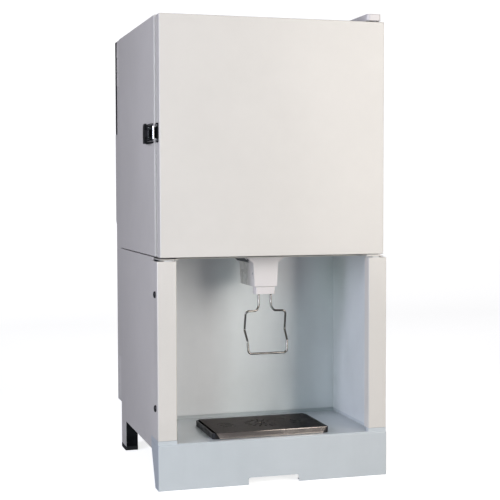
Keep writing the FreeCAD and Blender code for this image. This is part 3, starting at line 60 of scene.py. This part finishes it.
class Look:
    """A material under construction, with short calls for its nodes."""

    def __init__(self, name, **sockets):
        self.material = bpy.data.materials.new(name)
        self.material.use_nodes = True
        self.tree = self.material.node_tree
        self.shader = self.tree.nodes["Principled BSDF"]
        for socket, value in sockets.items():
            self.shader.inputs[socket.replace("_", " ")].default_value = value
        self.place = self.add("ShaderNodeTexCoord").outputs["Object"]

    def add(self, kind):
        return self.tree.nodes.new(kind)

    def link(self, source, target):
        if hasattr(source, "is_linked"):
            self.tree.links.new(source, target)
        else:
            target.default_value = source

    def stretch(self, x, y, z):
        mapping = self.add("ShaderNodeMapping")
        self.link(self.place, mapping.inputs["Vector"])
        mapping.inputs["Scale"].default_value = (x, y, z)
        return mapping.outputs[0]

    def noise(self, scale, detail=3.0, rough=0.5, at=None, distort=0.0):
        node = self.add("ShaderNodeTexNoise")
        self.link(at or self.place, node.inputs["Vector"])
        node.inputs["Scale"].default_value = scale
        node.inputs["Detail"].default_value = detail
        node.inputs["Roughness"].default_value = rough
        node.inputs["Distortion"].default_value = distort
        return node.outputs["Fac"]

    def cells(self, scale):
        node = self.add("ShaderNodeTexVoronoi")
        self.link(self.place, node.inputs["Vector"])
        node.inputs["Scale"].default_value = scale
        return node.outputs["Distance"]

    def ramp(self, fac, *stops):
        node = self.add("ShaderNodeValToRGB")
        self.link(fac, node.inputs["Fac"])
        elements = node.color_ramp.elements
        while len(elements) < len(stops):
            elements.new(0.5)
        for element, (at, colour) in zip(elements, stops):
            element.position = at
            if isinstance(colour, (int, float)):
                colour = (colour, colour, colour)
            element.color = (*colour[:3], 1.0)
        return node.outputs["Color"]

    def math(self, operation, a, b=0.0, clamp=False):
        node = self.add("ShaderNodeMath")
        node.operation = operation
        node.use_clamp = clamp
        self.link(a, node.inputs[0])
        self.link(b, node.inputs[1])
        return node.outputs[0]

    def span(self, value, low, high, out_low=0.0, out_high=1.0):
        node = self.add("ShaderNodeMapRange")
        self.link(value, node.inputs["Value"])
        for socket, number in zip(
            ("From Min", "From Max", "To Min", "To Max"), (low, high, out_low, out_high)
        ):
            node.inputs[socket].default_value = number
        return node.outputs[0]

    def mix(self, fac, a, b, blend="MIX"):
        node = self.add("ShaderNodeMix")
        node.data_type = "RGBA"
        node.blend_type = blend
        self.link(fac, node.inputs[0])
        for socket, value in ((6, a), (7, b)):
            if isinstance(value, tuple):
                node.inputs[socket].default_value = (*value[:3], 1.0)
            else:
                self.link(value, node.inputs[socket])
        return node.outputs[2]

    def axis(self, letter):
        node = self.add("ShaderNodeSeparateXYZ")
        self.link(self.place, node.inputs[0])
        return node.outputs[letter]

    def facing(self, letter):
        """How far the surface faces along a row axis, from -1 to 1."""
        geometry = self.add("ShaderNodeNewGeometry")
        node = self.add("ShaderNodeSeparateXYZ")
        self.link(geometry.outputs["Normal"], node.inputs[0])
        return node.outputs[letter]

    def colour(self, value):
        self.link(value, self.shader.inputs["Base Color"])

    def rough(self, value):
        self.link(value, self.shader.inputs["Roughness"])

    def bump(self, height, strength, distance):
        node = self.add("ShaderNodeBump")
        node.inputs["Strength"].default_value = strength
        node.inputs["Distance"].default_value = distance
        self.link(height, node.inputs["Height"])
        earlier = self.shader.inputs["Normal"]
        if earlier.is_linked:
            self.link(earlier.links[0].from_socket, node.inputs["Normal"])
        self.link(node.outputs[0], earlier)


# ------------------------------------------------------------ materials


def powder_coat(name, base, warm, dirt=0.25):
    """Satin powder coat: fine orange peel, faint blotches, grime low down and rubbed spots."""
    look = Look(name, Roughness=0.42)
    look.shader.inputs["Coat Weight"].default_value = 0.25
    look.shader.inputs["Coat Roughness"].default_value = 0.16
    blotch = look.ramp(look.noise(5.5, 4.0, 0.55), (0.30, warm), (0.72, base))
    cloud = look.ramp(look.noise(38.0, 5.0, 0.62), (0.35, 0.985), (0.65, 1.0))
    tone = look.mix(1.0, blotch, cloud, "MULTIPLY")
    specks = look.ramp(look.noise(620.0, 2.0, 0.5), (0.24, 0.80), (0.31, 1.0))
    tone = look.mix(0.35, tone, look.mix(1.0, tone, specks, "MULTIPLY"))
    low = look.span(look.axis("Z"), 0.11, 0.0)
    grime = look.math("MULTIPLY", low, look.ramp(look.noise(24.0, 6.0, 0.7), (0.42, 0.0), (0.75, 1.0)))
    grime = look.math("MULTIPLY", grime, dirt, clamp=True)
    look.colour(look.mix(grime, tone, (0.34, 0.33, 0.31)))
    smear = look.noise(6.0, 4.0, 0.55, distort=0.5)
    fine = look.noise(210.0, 3.0, 0.6)
    wear = look.math("ADD", look.span(smear, 0.3, 0.7, 0.37, 0.45), look.span(fine, 0.3, 0.7, -0.02, 0.03))
    look.rough(wear)
    look.bump(look.noise(820.0, 2.0, 0.5), 0.10, 0.00010)
    look.bump(look.noise(11.0, 2.0, 0.4), 0.03, 0.0008)
    return look.material


def brushed(name, dark, light, along, rough=(0.26, 0.42), grain=1.0, spots=0.0, painted_dark_reflection=None):
    """Brushed sheet metal with its grain along a row axis, spots and smears.

    The last argument is a dark colour painted on every side but the front, as painted shade and painted dark
    reflection.
    """
    look = Look(name, Metallic=1.0)
    scales = {"X": (14.0, 900.0, 900.0), "Y": (900.0, 14.0, 900.0), "Z": (900.0, 900.0, 14.0)}
    strokes = look.noise(1.0, 3.0, 0.65, look.stretch(*scales[along]))
    patch = look.noise(7.0, 4.0, 0.55)
    tone = look.ramp(strokes, (0.25, dark), (0.75, light))
    tone = look.mix(0.55, tone, look.ramp(patch, (0.3, dark), (0.7, light)))
    marks = look.ramp(look.noise(60.0, 6.0, 0.75), (0.62, 0.0), (0.80, 1.0))
    marks = look.math("MULTIPLY", marks, spots, clamp=True)
    tone = look.mix(marks, tone, tuple(0.45 * c for c in dark))
    # Painted shade and dark reflection: every side but the front is mixed towards the dark colour.
    if painted_dark_reflection:
        look.shader.inputs["Specular Tint"].default_value = (0.35, 0.34, 0.34, 1.0)
        painted_reflection_tone = look.mix(look.math("MULTIPLY", strokes, 0.22), painted_dark_reflection, tone)
        tone = look.mix(look.span(look.facing("Y"), -0.5, -0.9), painted_reflection_tone, tone)
    look.colour(tone)
    smear = look.noise(11.0, 5.0, 0.65, distort=0.8)
    value = look.math("ADD", look.span(smear, 0.3, 0.7, *rough), look.span(strokes, 0.2, 0.8, -0.05, 0.07))
    look.rough(value)
    look.bump(strokes, 0.10 * grain, 0.00006)
    return look.material


def satin_paint(name, base, shade, metal=0.0):
    """Cool satin coating of the bay, the floor and the skirt, with faint upright streaks."""
    look = Look(name, Roughness=0.33, Metallic=metal)
    look.shader.inputs["Coat Weight"].default_value = 0.25
    look.shader.inputs["Coat Roughness"].default_value = 0.18
    tone = look.ramp(look.noise(4.0, 3.0, 0.5), (0.30, shade), (0.70, base))
    streak = look.noise(1.0, 4.0, 0.6, look.stretch(22.0, 22.0, 5.0))
    tone = look.mix(0.25, tone, look.mix(1.0, tone, look.ramp(streak, (0.35, 0.88), (0.65, 1.0)), "MULTIPLY"))
    film = look.ramp(look.noise(34.0, 4.0, 0.6), (0.30, 0.97), (0.70, 1.0))
    look.colour(look.mix(1.0, tone, film, "MULTIPLY"))
    look.rough(look.span(look.noise(12.0, 2.0, 0.5), 0.3, 0.7, 0.28, 0.38))
    look.bump(look.noise(700.0, 2.0, 0.5), 0.04, 0.0001)
    look.bump(look.noise(9.0, 1.0, 0.4), 0.04, 0.0015)
    return look.material


def moulded(name, dark, light, rough=(0.30, 0.48), grain=420.0, depth=0.00010, gloss=0.45):
    """Moulded plastic or rubber with a fine texture, dust and rubbed patches."""
    look = Look(name)
    look.shader.inputs["Specular IOR Level"].default_value = gloss
    tone = look.ramp(look.noise(18.0, 5.0, 0.6), (0.30, dark), (0.72, light))
    dust = look.ramp(look.noise(95.0, 6.0, 0.7), (0.55, 0.0), (0.80, 1.0))
    up = look.span(look.facing("Z"), 0.2, 1.0, 0.0, 0.30)
    look.colour(look.mix(look.math("MULTIPLY", dust, up, clamp=True), tone, (0.46, 0.45, 0.43)))
    look.rough(look.span(look.noise(26.0, 3.0, 0.5), 0.3, 0.7, *rough))
    look.bump(look.noise(grain * 2.0, 3.0, 0.6), 0.15, depth)
    return look.material


def zinc(name):
    """Galvanised sheet with its crystal pattern."""
    look = Look(name, Metallic=1.0)
    node = look.add("ShaderNodeTexVoronoi")
    look.link(look.place, node.inputs["Vector"])
    node.inputs["Scale"].default_value = 95.0
    shade = look.add("ShaderNodeSeparateColor")
    look.link(node.outputs["Color"], shade.inputs[0])
    look.colour(look.ramp(shade.outputs[0], (0.0, (0.36, 0.38, 0.40)), (1.0, (0.60, 0.62, 0.64))))
    look.rough(look.span(shade.outputs[1], 0.0, 1.0, 0.34, 0.55))
    look.bump(look.noise(240.0, 3.0, 0.6), 0.12, 0.0001)
    return look.material


def steel_wire(name, tint, rough):
    """Polished wire with drawing lines, small scratches and a duller film in places."""
    look = Look(name, Metallic=1.0)
    film = look.noise(70.0, 5.0, 0.65)
    dark = tuple(0.55 * c for c in tint)
    look.colour(look.ramp(film, (0.28, dark), (0.62, tint)))
    scratch = look.noise(1.0, 4.0, 0.7, look.stretch(1500.0, 1500.0, 90.0))
    duller = look.span(film, 0.3, 0.7, rough + 0.14, rough)
    look.rough(look.math("ADD", duller, look.span(scratch, 0.3, 0.7, 0.0, 0.06)))
    look.bump(scratch, 0.12, 0.00003)
    return look.material


def silicone(name):
    """Milky translucent tube."""
    look = Look(name, Roughness=0.32)
    look.shader.inputs["Transmission Weight"].default_value = 0.35
    look.shader.inputs["IOR"].default_value = 1.41
    look.shader.inputs["Subsurface Weight"].default_value = 0.25
    look.shader.inputs["Subsurface Radius"].default_value = (0.004, 0.003, 0.002)
    look.colour(look.ramp(look.noise(60.0, 4.0, 0.6), (0.3, (0.72, 0.68, 0.55)), (0.7, (0.86, 0.84, 0.76))))
    look.bump(look.noise(500.0, 2.0, 0.5), 0.15, 0.0001)
    return look.material


def rigid_foam(name):
    look = Look(name, Roughness=0.9)
    pores = look.cells(420.0)
    look.colour(look.ramp(look.noise(20.0, 4.0, 0.6), (0.3, (0.62, 0.50, 0.26)), (0.7, (0.80, 0.70, 0.44))))
    look.bump(pores, 0.6, 0.0005)
    return look.material


def cast(name, dark, light, rough=0.5):
    """Cast or dark coated metal with a pebbled skin."""
    look = Look(name, Metallic=1.0)
    look.colour(look.ramp(look.noise(40.0, 5.0, 0.6), (0.3, dark), (0.7, light)))
    look.rough(look.span(look.noise(75.0, 4.0, 0.6), 0.3, 0.7, rough - 0.08, rough + 0.12))
    look.bump(look.noise(900.0, 3.0, 0.6), 0.30, 0.00015)
    return look.material


WHITE = powder_coat("white_powder_coat", (0.790, 0.752, 0.708), (0.752, 0.716, 0.672))
PLATE = satin_paint("cool_satin_coating", (0.675, 0.715, 0.740), (0.620, 0.665, 0.690))
# Lighter copy of the satin coating for the bay walls: its extra lightness is painted light, its slight metal
# is their finish.
LIT_LINING = satin_paint("cool_satin_lining_painted_lighter", (0.820, 0.845, 0.865), (0.770, 0.795, 0.815), 0.15)
STEEL = brushed("brushed_liner_steel", (0.40, 0.41, 0.42), (0.62, 0.62, 0.62), "X")
# The tray steel's dark sides are painted shade and dark reflection.
TRAY = brushed(
    "brushed_tray_steel", (0.30, 0.265, 0.245), (0.52, 0.48, 0.45), "X",
    rough=(0.16, 0.32), grain=1.4, spots=0.5, painted_dark_reflection=(0.070, 0.067, 0.066),
)
ZINC = zinc("galvanised_sheet")
DARK = cast("dark_coated_steel", (0.020, 0.020, 0.022), (0.055, 0.055, 0.060), 0.48)
ALLOY = cast("cast_alloy", (0.45, 0.45, 0.47), (0.66, 0.66, 0.68), 0.40)
COPPER = cast("drawn_copper", (0.42, 0.20, 0.11), (0.62, 0.33, 0.20), 0.34)
SCREW = steel_wire("plated_screw_steel", (0.58, 0.58, 0.60), 0.26)
# The lever wire's tint is darker than polished steel as a painted dark reflection.
LEVER = steel_wire("polished_lever_wire", (0.32, 0.305, 0.29), 0.10)
CHROME = steel_wire("chromed_loop_wire", (0.80, 0.80, 0.82), 0.07)
BLACK = moulded(
    "black_moulded_plastic", (0.006, 0.006, 0.007), (0.014, 0.014, 0.016),
    rough=(0.34, 0.50), gloss=0.30,
)
RUBBER = moulded(
    "black_foot_rubber", (0.012, 0.012, 0.012), (0.030, 0.030, 0.030),
    rough=(0.55, 0.75), grain=300.0, depth=0.0002,
)
IVORY = moulded(
    "white_moulded_plastic", (0.765, 0.722, 0.715), (0.815, 0.772, 0.765),
    rough=(0.24, 0.36), grain=500.0, depth=0.00005,
)
GREY = moulded("grey_moulded_plastic", (0.085, 0.088, 0.095), (0.135, 0.138, 0.145), (0.40, 0.55))
SEAL = moulded(
    "grey_seal_rubber", (0.090, 0.092, 0.098), (0.135, 0.138, 0.145),
    rough=(0.50, 0.68), grain=350.0, depth=0.00012,
)
BOLT = moulded("black_oxide_screw", (0.010, 0.010, 0.010), (0.028, 0.028, 0.028), (0.30, 0.45))
TUBE = silicone("milky_silicone")
FOAM = rigid_foam("rigid_foam")

BY_SLOT = {
    "white_coat": WHITE, "satin_steel": PLATE, "brushed_steel": STEEL, "polished_steel": LEVER,
    "tray_steel": TRAY, "galvanised": ZINC, "dark_steel": DARK, "screw_steel": SCREW,
    "chrome_wire": CHROME, "aluminium": ALLOY, "copper": COPPER, "black_plastic": BLACK,
    "white_plastic": IVORY, "grey_plastic": GREY, "black_screws": BOLT, "black_rubber": RUBBER,
    "grey_rubber": SEAL, "clear_silicone": TUBE, "foam": FOAM,
}

# Nodes whose finish differs from the rest of their slot. The bay walls get a lighter, slightly metallic copy
# of the satin coating: the slight metal is their finish, the extra lightness is painted light. The drip
# tray's dark coated steel stands in for its brushed steel as a painted dark reflection.
BY_NODE = {
    "bay_back_wall": LIT_LINING, "bay_left_wall": LIT_LINING, "bay_right_wall": LIT_LINING,
    # The drip tray is given dark coated steel as a painted dark reflection of its brushed steel.
    "pillar_screws": BOLT, "drip_tray": DARK,
}

# ------------------------------------------------------------ CAD nodes that stay

# Plain CAD solids that a detailed piece below stands in for.
REPLACED = ("cup_lever", "latch_bail", "return_spring", "product_tube", "door_gasket")
# Edge radii in metres, where they aren't 0.3 mm.
SOFT_EDGE = {
    "door_skin": 0.0006, "outer_shell": 0.0005, "front_skirt": 0.0005, "head_housing": 0.0006,
    "latch_lever": 0.0006, "latch_base": 0.0005, "latch_keeper": 0.0005,
    "nozzle_collar": 0.0005, "lever_yoke": 0.0005, "drip_tray": 0.0008, "leg_caps": 0.0008,
    "rear_grille": 0.0005, "rear_cover": 0.0004, "top_hinge_cap": 0.0005, "power_rocker": 0.0006,
    "mains_inlet": 0.0004, "switch_housing": 0.0004, "fan_rotor": 0.0004, "door_liner": 0.0005,
}


def dress(name, node, material):
    """Gives a CAD node its material, rounded edges and clean shading."""
    node.data.materials.clear()
    node.data.materials.append(material)
    weld = node.modifiers.new("weld", "WELD")
    weld.merge_threshold = 1e-6
    bevel = node.modifiers.new("edge", "BEVEL")
    bevel.width = SOFT_EDGE.get(name, 0.0003)
    bevel.segments = 3
    bevel.limit_method = "ANGLE"
    bevel.angle_limit = math.radians(40)
    bevel.harden_normals = True
    bevel.use_clamp_overlap = True


for entry in frame["record"]["subparts"]:
    if entry["node"] not in REPLACED:
        material = BY_NODE.get(entry["node"], BY_SLOT[entry["material_slot"]])
        dress(entry["node"], nodes[entry["node"]], material)

# ------------------------------------------------------------ detailed pieces


def finish_piece(piece, body, slot, *replaced):
    piece.data.materials.clear()
    piece.data.materials.append(BY_SLOT[slot])
    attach(piece, body)
    if replaced:
        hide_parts(*replaced)
    return piece


def mesh_piece(name, build):
    """A mesh object filled by a function that gets a bmesh."""
    mesh = bpy.data.meshes.new(name)
    work = bmesh.new()
    build(work)
    bmesh.ops.recalc_face_normals(work, faces=work.faces)
    work.to_mesh(mesh)
    work.free()
    for face in mesh.polygons:
        face.use_smooth = True
    piece = bpy.data.objects.new(name, mesh)
    bpy.context.scene.collection.objects.link(piece)
    return piece


def rounded_path(corners, bend, closed=False, steps=10):
    """Points along straight runs whose corners are rounded with one bend radius."""
    corners = [Vector(c) for c in corners]
    count = len(corners)
    path = []
    for i, corner in enumerate(corners):
        if not closed and i in (0, count - 1):
            path.append(corner)
            continue
        before = (corners[i - 1] - corner).normalized()
        after = (corners[(i + 1) % count] - corner).normalized()
        half = before.angle(after) / 2.0
        reach = bend / math.tan(half)
        centre = corner + (before + after).normalized() * (bend / math.sin(half))
        start = (corner + before * reach - centre).normalized()
        stop = (corner + after * reach - centre).normalized()
        for k in range(steps + 1):
            path.append(centre + start.slerp(stop, k / steps) * bend)
    return path


def sweep(work, path, ring, closed=False):
    """Skins a ring of (side, up) points along a path with a frame that doesn't twist."""
    count = len(path)
    tangents = []
    for i in range(count):
        ahead = path[(i + 1) % count] if closed or i < count - 1 else path[i]
        behind = path[i - 1] if closed or i > 0 else path[i]
        tangents.append((ahead - behind).normalized())
    side = tangents[0].orthogonal().normalized()
    rows = []
    for point, tangent in zip(path, tangents):
        side = (side - tangent * side.dot(tangent)).normalized()
        up = tangent.cross(side)
        rows.append([work.verts.new(point + side * a + up * b) for a, b in ring])
    spans = range(count if closed else count - 1)
    for i in spans:
        low, high = rows[i], rows[(i + 1) % count]
        for k in range(len(ring)):
            n = (k + 1) % len(ring)
            work.faces.new((low[k], low[n], high[n], high[k]))
    if not closed:
        work.faces.new(rows[0][::-1])
        work.faces.new(rows[-1])
    return rows


def join_rings(work, one, two):
    """Faces between two closed rings of as many vertices."""
    count = len(one)
    for k in range(count):
        n = (k + 1) % count
        work.faces.new((one[k], one[n], two[n], two[k]))


def disc(radius, count):
    return [
        (radius * math.cos(2 * math.pi * k / count), radius * math.sin(2 * math.pi * k / count))
        for k in range(count)
    ]


# y of the front edge of the footprint.
FOOTPRINT_FRONT = -0.187


def cup_lever():
    """The bent wire loop."""
    radius, leg, bend = 0.00165, 0.0099, 0.0055

    def at(behind):
        return FOOTPRINT_FRONT + behind

    half = [
        (leg, at(0.0562), 0.3116), (leg, at(0.0562), 0.267), (0.014, at(0.053), 0.2601),
        (0.0326, at(0.051), 0.2596), (0.0329, at(0.0575), 0.230), (0.0323, at(0.0425), 0.214),
        (0.0310, at(0.041), 0.1946),
    ]
    corners = half + [(-x, y, z) for x, y, z in reversed(half)]
    path = rounded_path(corners, bend, steps=14)
    piece = mesh_piece("cup_lever_wire", lambda work: sweep(work, path, disc(radius, 28)))
    finish_piece(piece, "dispensing_lever", "polished_steel", "cup_lever")


def latch_bail():
    """Chromed loop with a small crimp where its ends meet in the handle."""
    low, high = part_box("latch_bail")
    radius, bend, half = 0.0012, 0.0034, 0.012
    x = (low.x + high.x) / 2.0
    front, rear = low.y + radius, high.y - radius
    middle = (low.z + high.z) / 2.0
    corners = [(x, rear, middle + half - 0.001), (x, front, middle + half)]
    corners += [(x, front, middle - half), (x, rear, middle - half + 0.001)]
    path = rounded_path(corners, bend, closed=True, steps=12)

    def build(work):
        sweep(work, path, disc(radius, 24), closed=True)
        crimp = [Vector((x, rear, middle + s)) for s in (-0.0030, -0.0026, 0.0026, 0.0030)]
        rows = sweep(work, crimp, disc(radius + 0.00004, 24))
        for row in (rows[0], rows[-1]):
            centre = sum((v.co for v in row), Vector()) / len(row)
            for vert in row:
                vert.co = centre + (vert.co - centre) * 0.96

    finish_piece(mesh_piece("latch_bail_loop", build), "latch_loop", "chrome_wire", "latch_bail")


def return_spring():
    """Open coil between the cabinet and the lever."""
    low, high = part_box("return_spring")
    coil, wire = 0.0028, 0.0005
    middle = (low + high) / 2.0
    start, stop = low.y + wire, high.y - wire
    turns, steps = 9, 30
    path = []
    for k in range(turns * steps + 1):
        share = k / (turns * steps)
        eased = share + 0.055 * math.sin(4.0 * math.pi * share) / 2.0
        angle = 2.0 * math.pi * turns * share
        y = start + (stop - start) * min(max(eased, 0.0), 1.0)
        path.append(Vector((middle.x + coil * math.cos(angle), y, middle.z + coil * math.sin(angle))))
    piece = mesh_piece("return_spring_coil", lambda work: sweep(work, path, disc(wire, 10)))
    piece.data.materials.append(SCREW)
    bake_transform(piece)
    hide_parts("return_spring")


PINCH_HEIGHT, PINCH_REACH = 0.3035, 0.0095
COLLAR_LOW, COLLAR_HIGH, COLLAR_WIDTH = 0.3718, 0.3758, 0.0078
TUBE_RADIUS, BORE_RADIUS = 0.005, 0.0035


def tube_heights(bottom, top):
    """Heights of the tube's rings: close together at its ends, its pinch and its collar."""
    pinch = [0.292, 0.2945, 0.297, 0.2995, 0.302, 0.305, 0.308, 0.3105, 0.313, 0.316]
    plain = [0.330, 0.350]
    collar = [0.3715, 0.372, 0.3755, 0.376, 0.380]
    return [bottom, bottom + 0.0006, *pinch, *plain, *collar, top - 0.0006, top]


def product_tube():
    """Silicone tube with a real bore, squeezed to a flat neck where the bar pinches it."""
    low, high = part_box("product_tube")
    y = (low.y + high.y) / 2.0
    bottom, top = low.z, high.z
    count = 40

    def ring(work, wide, thin, shift, z):
        turns = [2.0 * math.pi * k / count for k in range(count)]
        return [work.verts.new((wide * math.cos(t), y + shift + thin * math.sin(t), z)) for t in turns]

    def build(work):
        outside, inside = [], []
        for z in tube_heights(bottom, top):
            pinch = max(0.0, 1.0 - abs(z - PINCH_HEIGHT) / PINCH_REACH)
            pinch = pinch * pinch * (3.0 - 2.0 * pinch)
            lip = 0.0003 if z in (bottom, top) else 0.0
            rim = COLLAR_WIDTH if COLLAR_LOW <= z <= COLLAR_HIGH else 0.0
            wide = TUBE_RADIUS + 0.0019 * pinch - lip + rim
            thin = TUBE_RADIUS - 0.0034 * pinch - lip + rim
            hole_wide = BORE_RADIUS + 0.0016 * pinch
            hole_thin = max(BORE_RADIUS - 0.0033 * pinch, 0.0002)
            shift = -0.0015 * pinch
            outside.append(ring(work, wide, thin, shift, z))
            inside.append(ring(work, hole_wide, hole_thin, shift, z))
        for rows in (outside, inside):
            for one, two in zip(rows, rows[1:]):
                join_rings(work, one, two)
        for end in (0, -1):
            join_rings(work, outside[end], inside[end])

    piece = mesh_piece("product_tube_silicone", build)
    finish_piece(piece, "cabinet", "clear_silicone", "product_tube")


def door_gasket():
    """Seal with a foot, a bellows fold and a rounded magnetic lip, mitred at its corners."""
    low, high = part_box("door_gasket")
    width = 0.008
    front, rear = low.y, high.y
    depth = rear - front
    profile = [
        (0.0, 0.0), (1.0, 0.0), (1.0, 0.18), (0.86, 0.24), (0.86, 0.34), (0.98, 0.42), (0.98, 0.52),
        (0.86, 0.60), (0.86, 0.68), (1.0, 0.76), (1.0, 0.90), (0.93, 1.0), (0.07, 1.0), (0.0, 0.90),
        (0.0, 0.76), (0.14, 0.68), (0.14, 0.60), (0.02, 0.52), (0.02, 0.42), (0.14, 0.34),
        (0.14, 0.24), (0.0, 0.18),
    ]
    corners = [(low.x, low.z, 1, 1), (high.x, low.z, -1, 1)]
    corners += [(high.x, high.z, -1, -1), (low.x, high.z, 1, -1)]

    def build(work):
        rows = []
        for x, z, inward_x, inward_z in corners:
            rows.append([
                work.verts.new((x + inward_x * width * u, front + depth * v, z + inward_z * width * u))
                for u, v in profile
            ])
        for i in range(4):
            join_rings(work, rows[i], rows[(i + 1) % 4])

    piece = mesh_piece("door_gasket_bellows", build)
    for face in piece.data.polygons:
        face.use_smooth = False
    soft = piece.modifiers.new("edge", "BEVEL")
    soft.width = 0.00025
    soft.segments = 3
    soft.limit_method = "ANGLE"
    soft.angle_limit = math.radians(20)
    finish_piece(piece, "door", "grey_rubber", "door_gasket")


cup_lever()
latch_bail()
return_spring()
product_tube()
door_gasket()

# ------------------------------------------------------------ stage, light and camera


def studio_floor():
    """Pale floor that sweeps up into a backdrop behind the object, and throws little light back."""
    look = Look("studio_paper", Roughness=0.9)
    seen = look.add("ShaderNodeLightPath").outputs["Is Camera Ray"]
    pale = look.ramp(look.noise(2.0, 2.0, 0.5), (0.3, (0.90, 0.90, 0.905)), (0.7, (0.93, 0.93, 0.93)))
    look.colour(look.mix(seen, (0.26, 0.26, 0.27), pale))
    look.shader.inputs["Emission Color"].default_value = (1.0, 1.0, 1.0, 1.0)
    look.link(look.math("MULTIPLY", seen, 0.80), look.shader.inputs["Emission Strength"])
    curve = [(-2.4, 0.0), (2.0, 0.0)]
    curve += [(2.0 + 1.2 * math.sin(a), 1.2 - 1.2 * math.cos(a)) for a in (0.25 * k for k in range(1, 7))]
    curve += [(3.2, 1.6), (3.2, 4.0)]

    def build(work):
        rows = [[work.verts.new((x, y, z)) for x in (-3.2, 3.8)] for y, z in curve]
        for one, two in zip(rows, rows[1:]):
            work.faces.new((one[0], one[1], two[1], two[0]))

    floor = mesh_piece("studio_floor", build)
    floor.data.materials.append(look.material)
    floor.location.z = -0.0004


def lamp(name, place, target, size, power, colour=(1.0, 1.0, 1.0)):
    data = bpy.data.lights.new(name, "AREA")
    data.shape = "RECTANGLE"
    data.size, data.size_y = size
    data.energy = power
    data.color = colour
    lamp_object = bpy.data.objects.new(name, data)
    bpy.context.scene.collection.objects.link(lamp_object)
    lamp_object.location = place
    aim = Vector(target) - Vector(place)
    lamp_object.rotation_mode = "QUATERNION"
    lamp_object.rotation_quaternion = aim.to_track_quat("-Z", "Y")


def studio_light():
    world = bpy.data.worlds.new("studio")
    bpy.context.scene.world = world
    world.use_nodes = True
    background = world.node_tree.nodes["Background"]
    background.inputs["Color"].default_value = (0.80, 0.86, 1.0, 1.0)
    seen = world.node_tree.nodes.new("ShaderNodeLightPath").outputs["Is Camera Ray"]
    level = world.node_tree.nodes.new("ShaderNodeMapRange")
    level.inputs["To Min"].default_value = 0.09
    level.inputs["To Max"].default_value = 1.15
    world.node_tree.links.new(seen, level.inputs["Value"])
    world.node_tree.links.new(level.outputs[0], background.inputs["Strength"])
    lamp("key", (1.85, -3.15, 1.15), (0.0, 0.0, 0.3), (1.6, 2.2), 81.0, (1.0, 0.945, 0.88))
    lamp("top", (0.1, -0.4, 2.4), (0.0, 0.0, 0.4), (1.6, 1.6), 3.0)
    lamp("left_strip", (-1.8, -1.05, 0.72), (0.0, 0.0, 0.3), (0.3, 1.2), 24.0, (0.84, 0.83, 1.0))
    lamp("front_strip", (-1.3, -1.9, 0.5), (0.0, 0.0, 0.3), (0.4, 1.0), 8.0, (0.76, 1.0, 0.97))


def camera():
    data = bpy.data.cameras.new("camera")
    data.sensor_width = 36.0
    data.lens = 83.33
    data.clip_start, data.clip_end = 0.05, 50.0
    eye = bpy.data.objects.new("camera", data)
    bpy.context.scene.collection.objects.link(eye)
    turn = Matrix.Rotation(math.radians(-16.448), 4, "Z")
    tilt = Matrix.Rotation(math.radians(90.0 - 2.940), 4, "X")
    roll = Matrix.Rotation(math.radians(-0.130), 4, "Z")
    eye.matrix_world = Matrix.Translation((-0.5338, -1.8579, 0.4476)) @ turn @ tilt @ roll
    bpy.context.scene.camera = eye


studio_floor()
studio_light()
camera()
bpy.context.scene.view_settings.view_transform = "Standard"
bpy.context.scene.view_settings.look = "None"
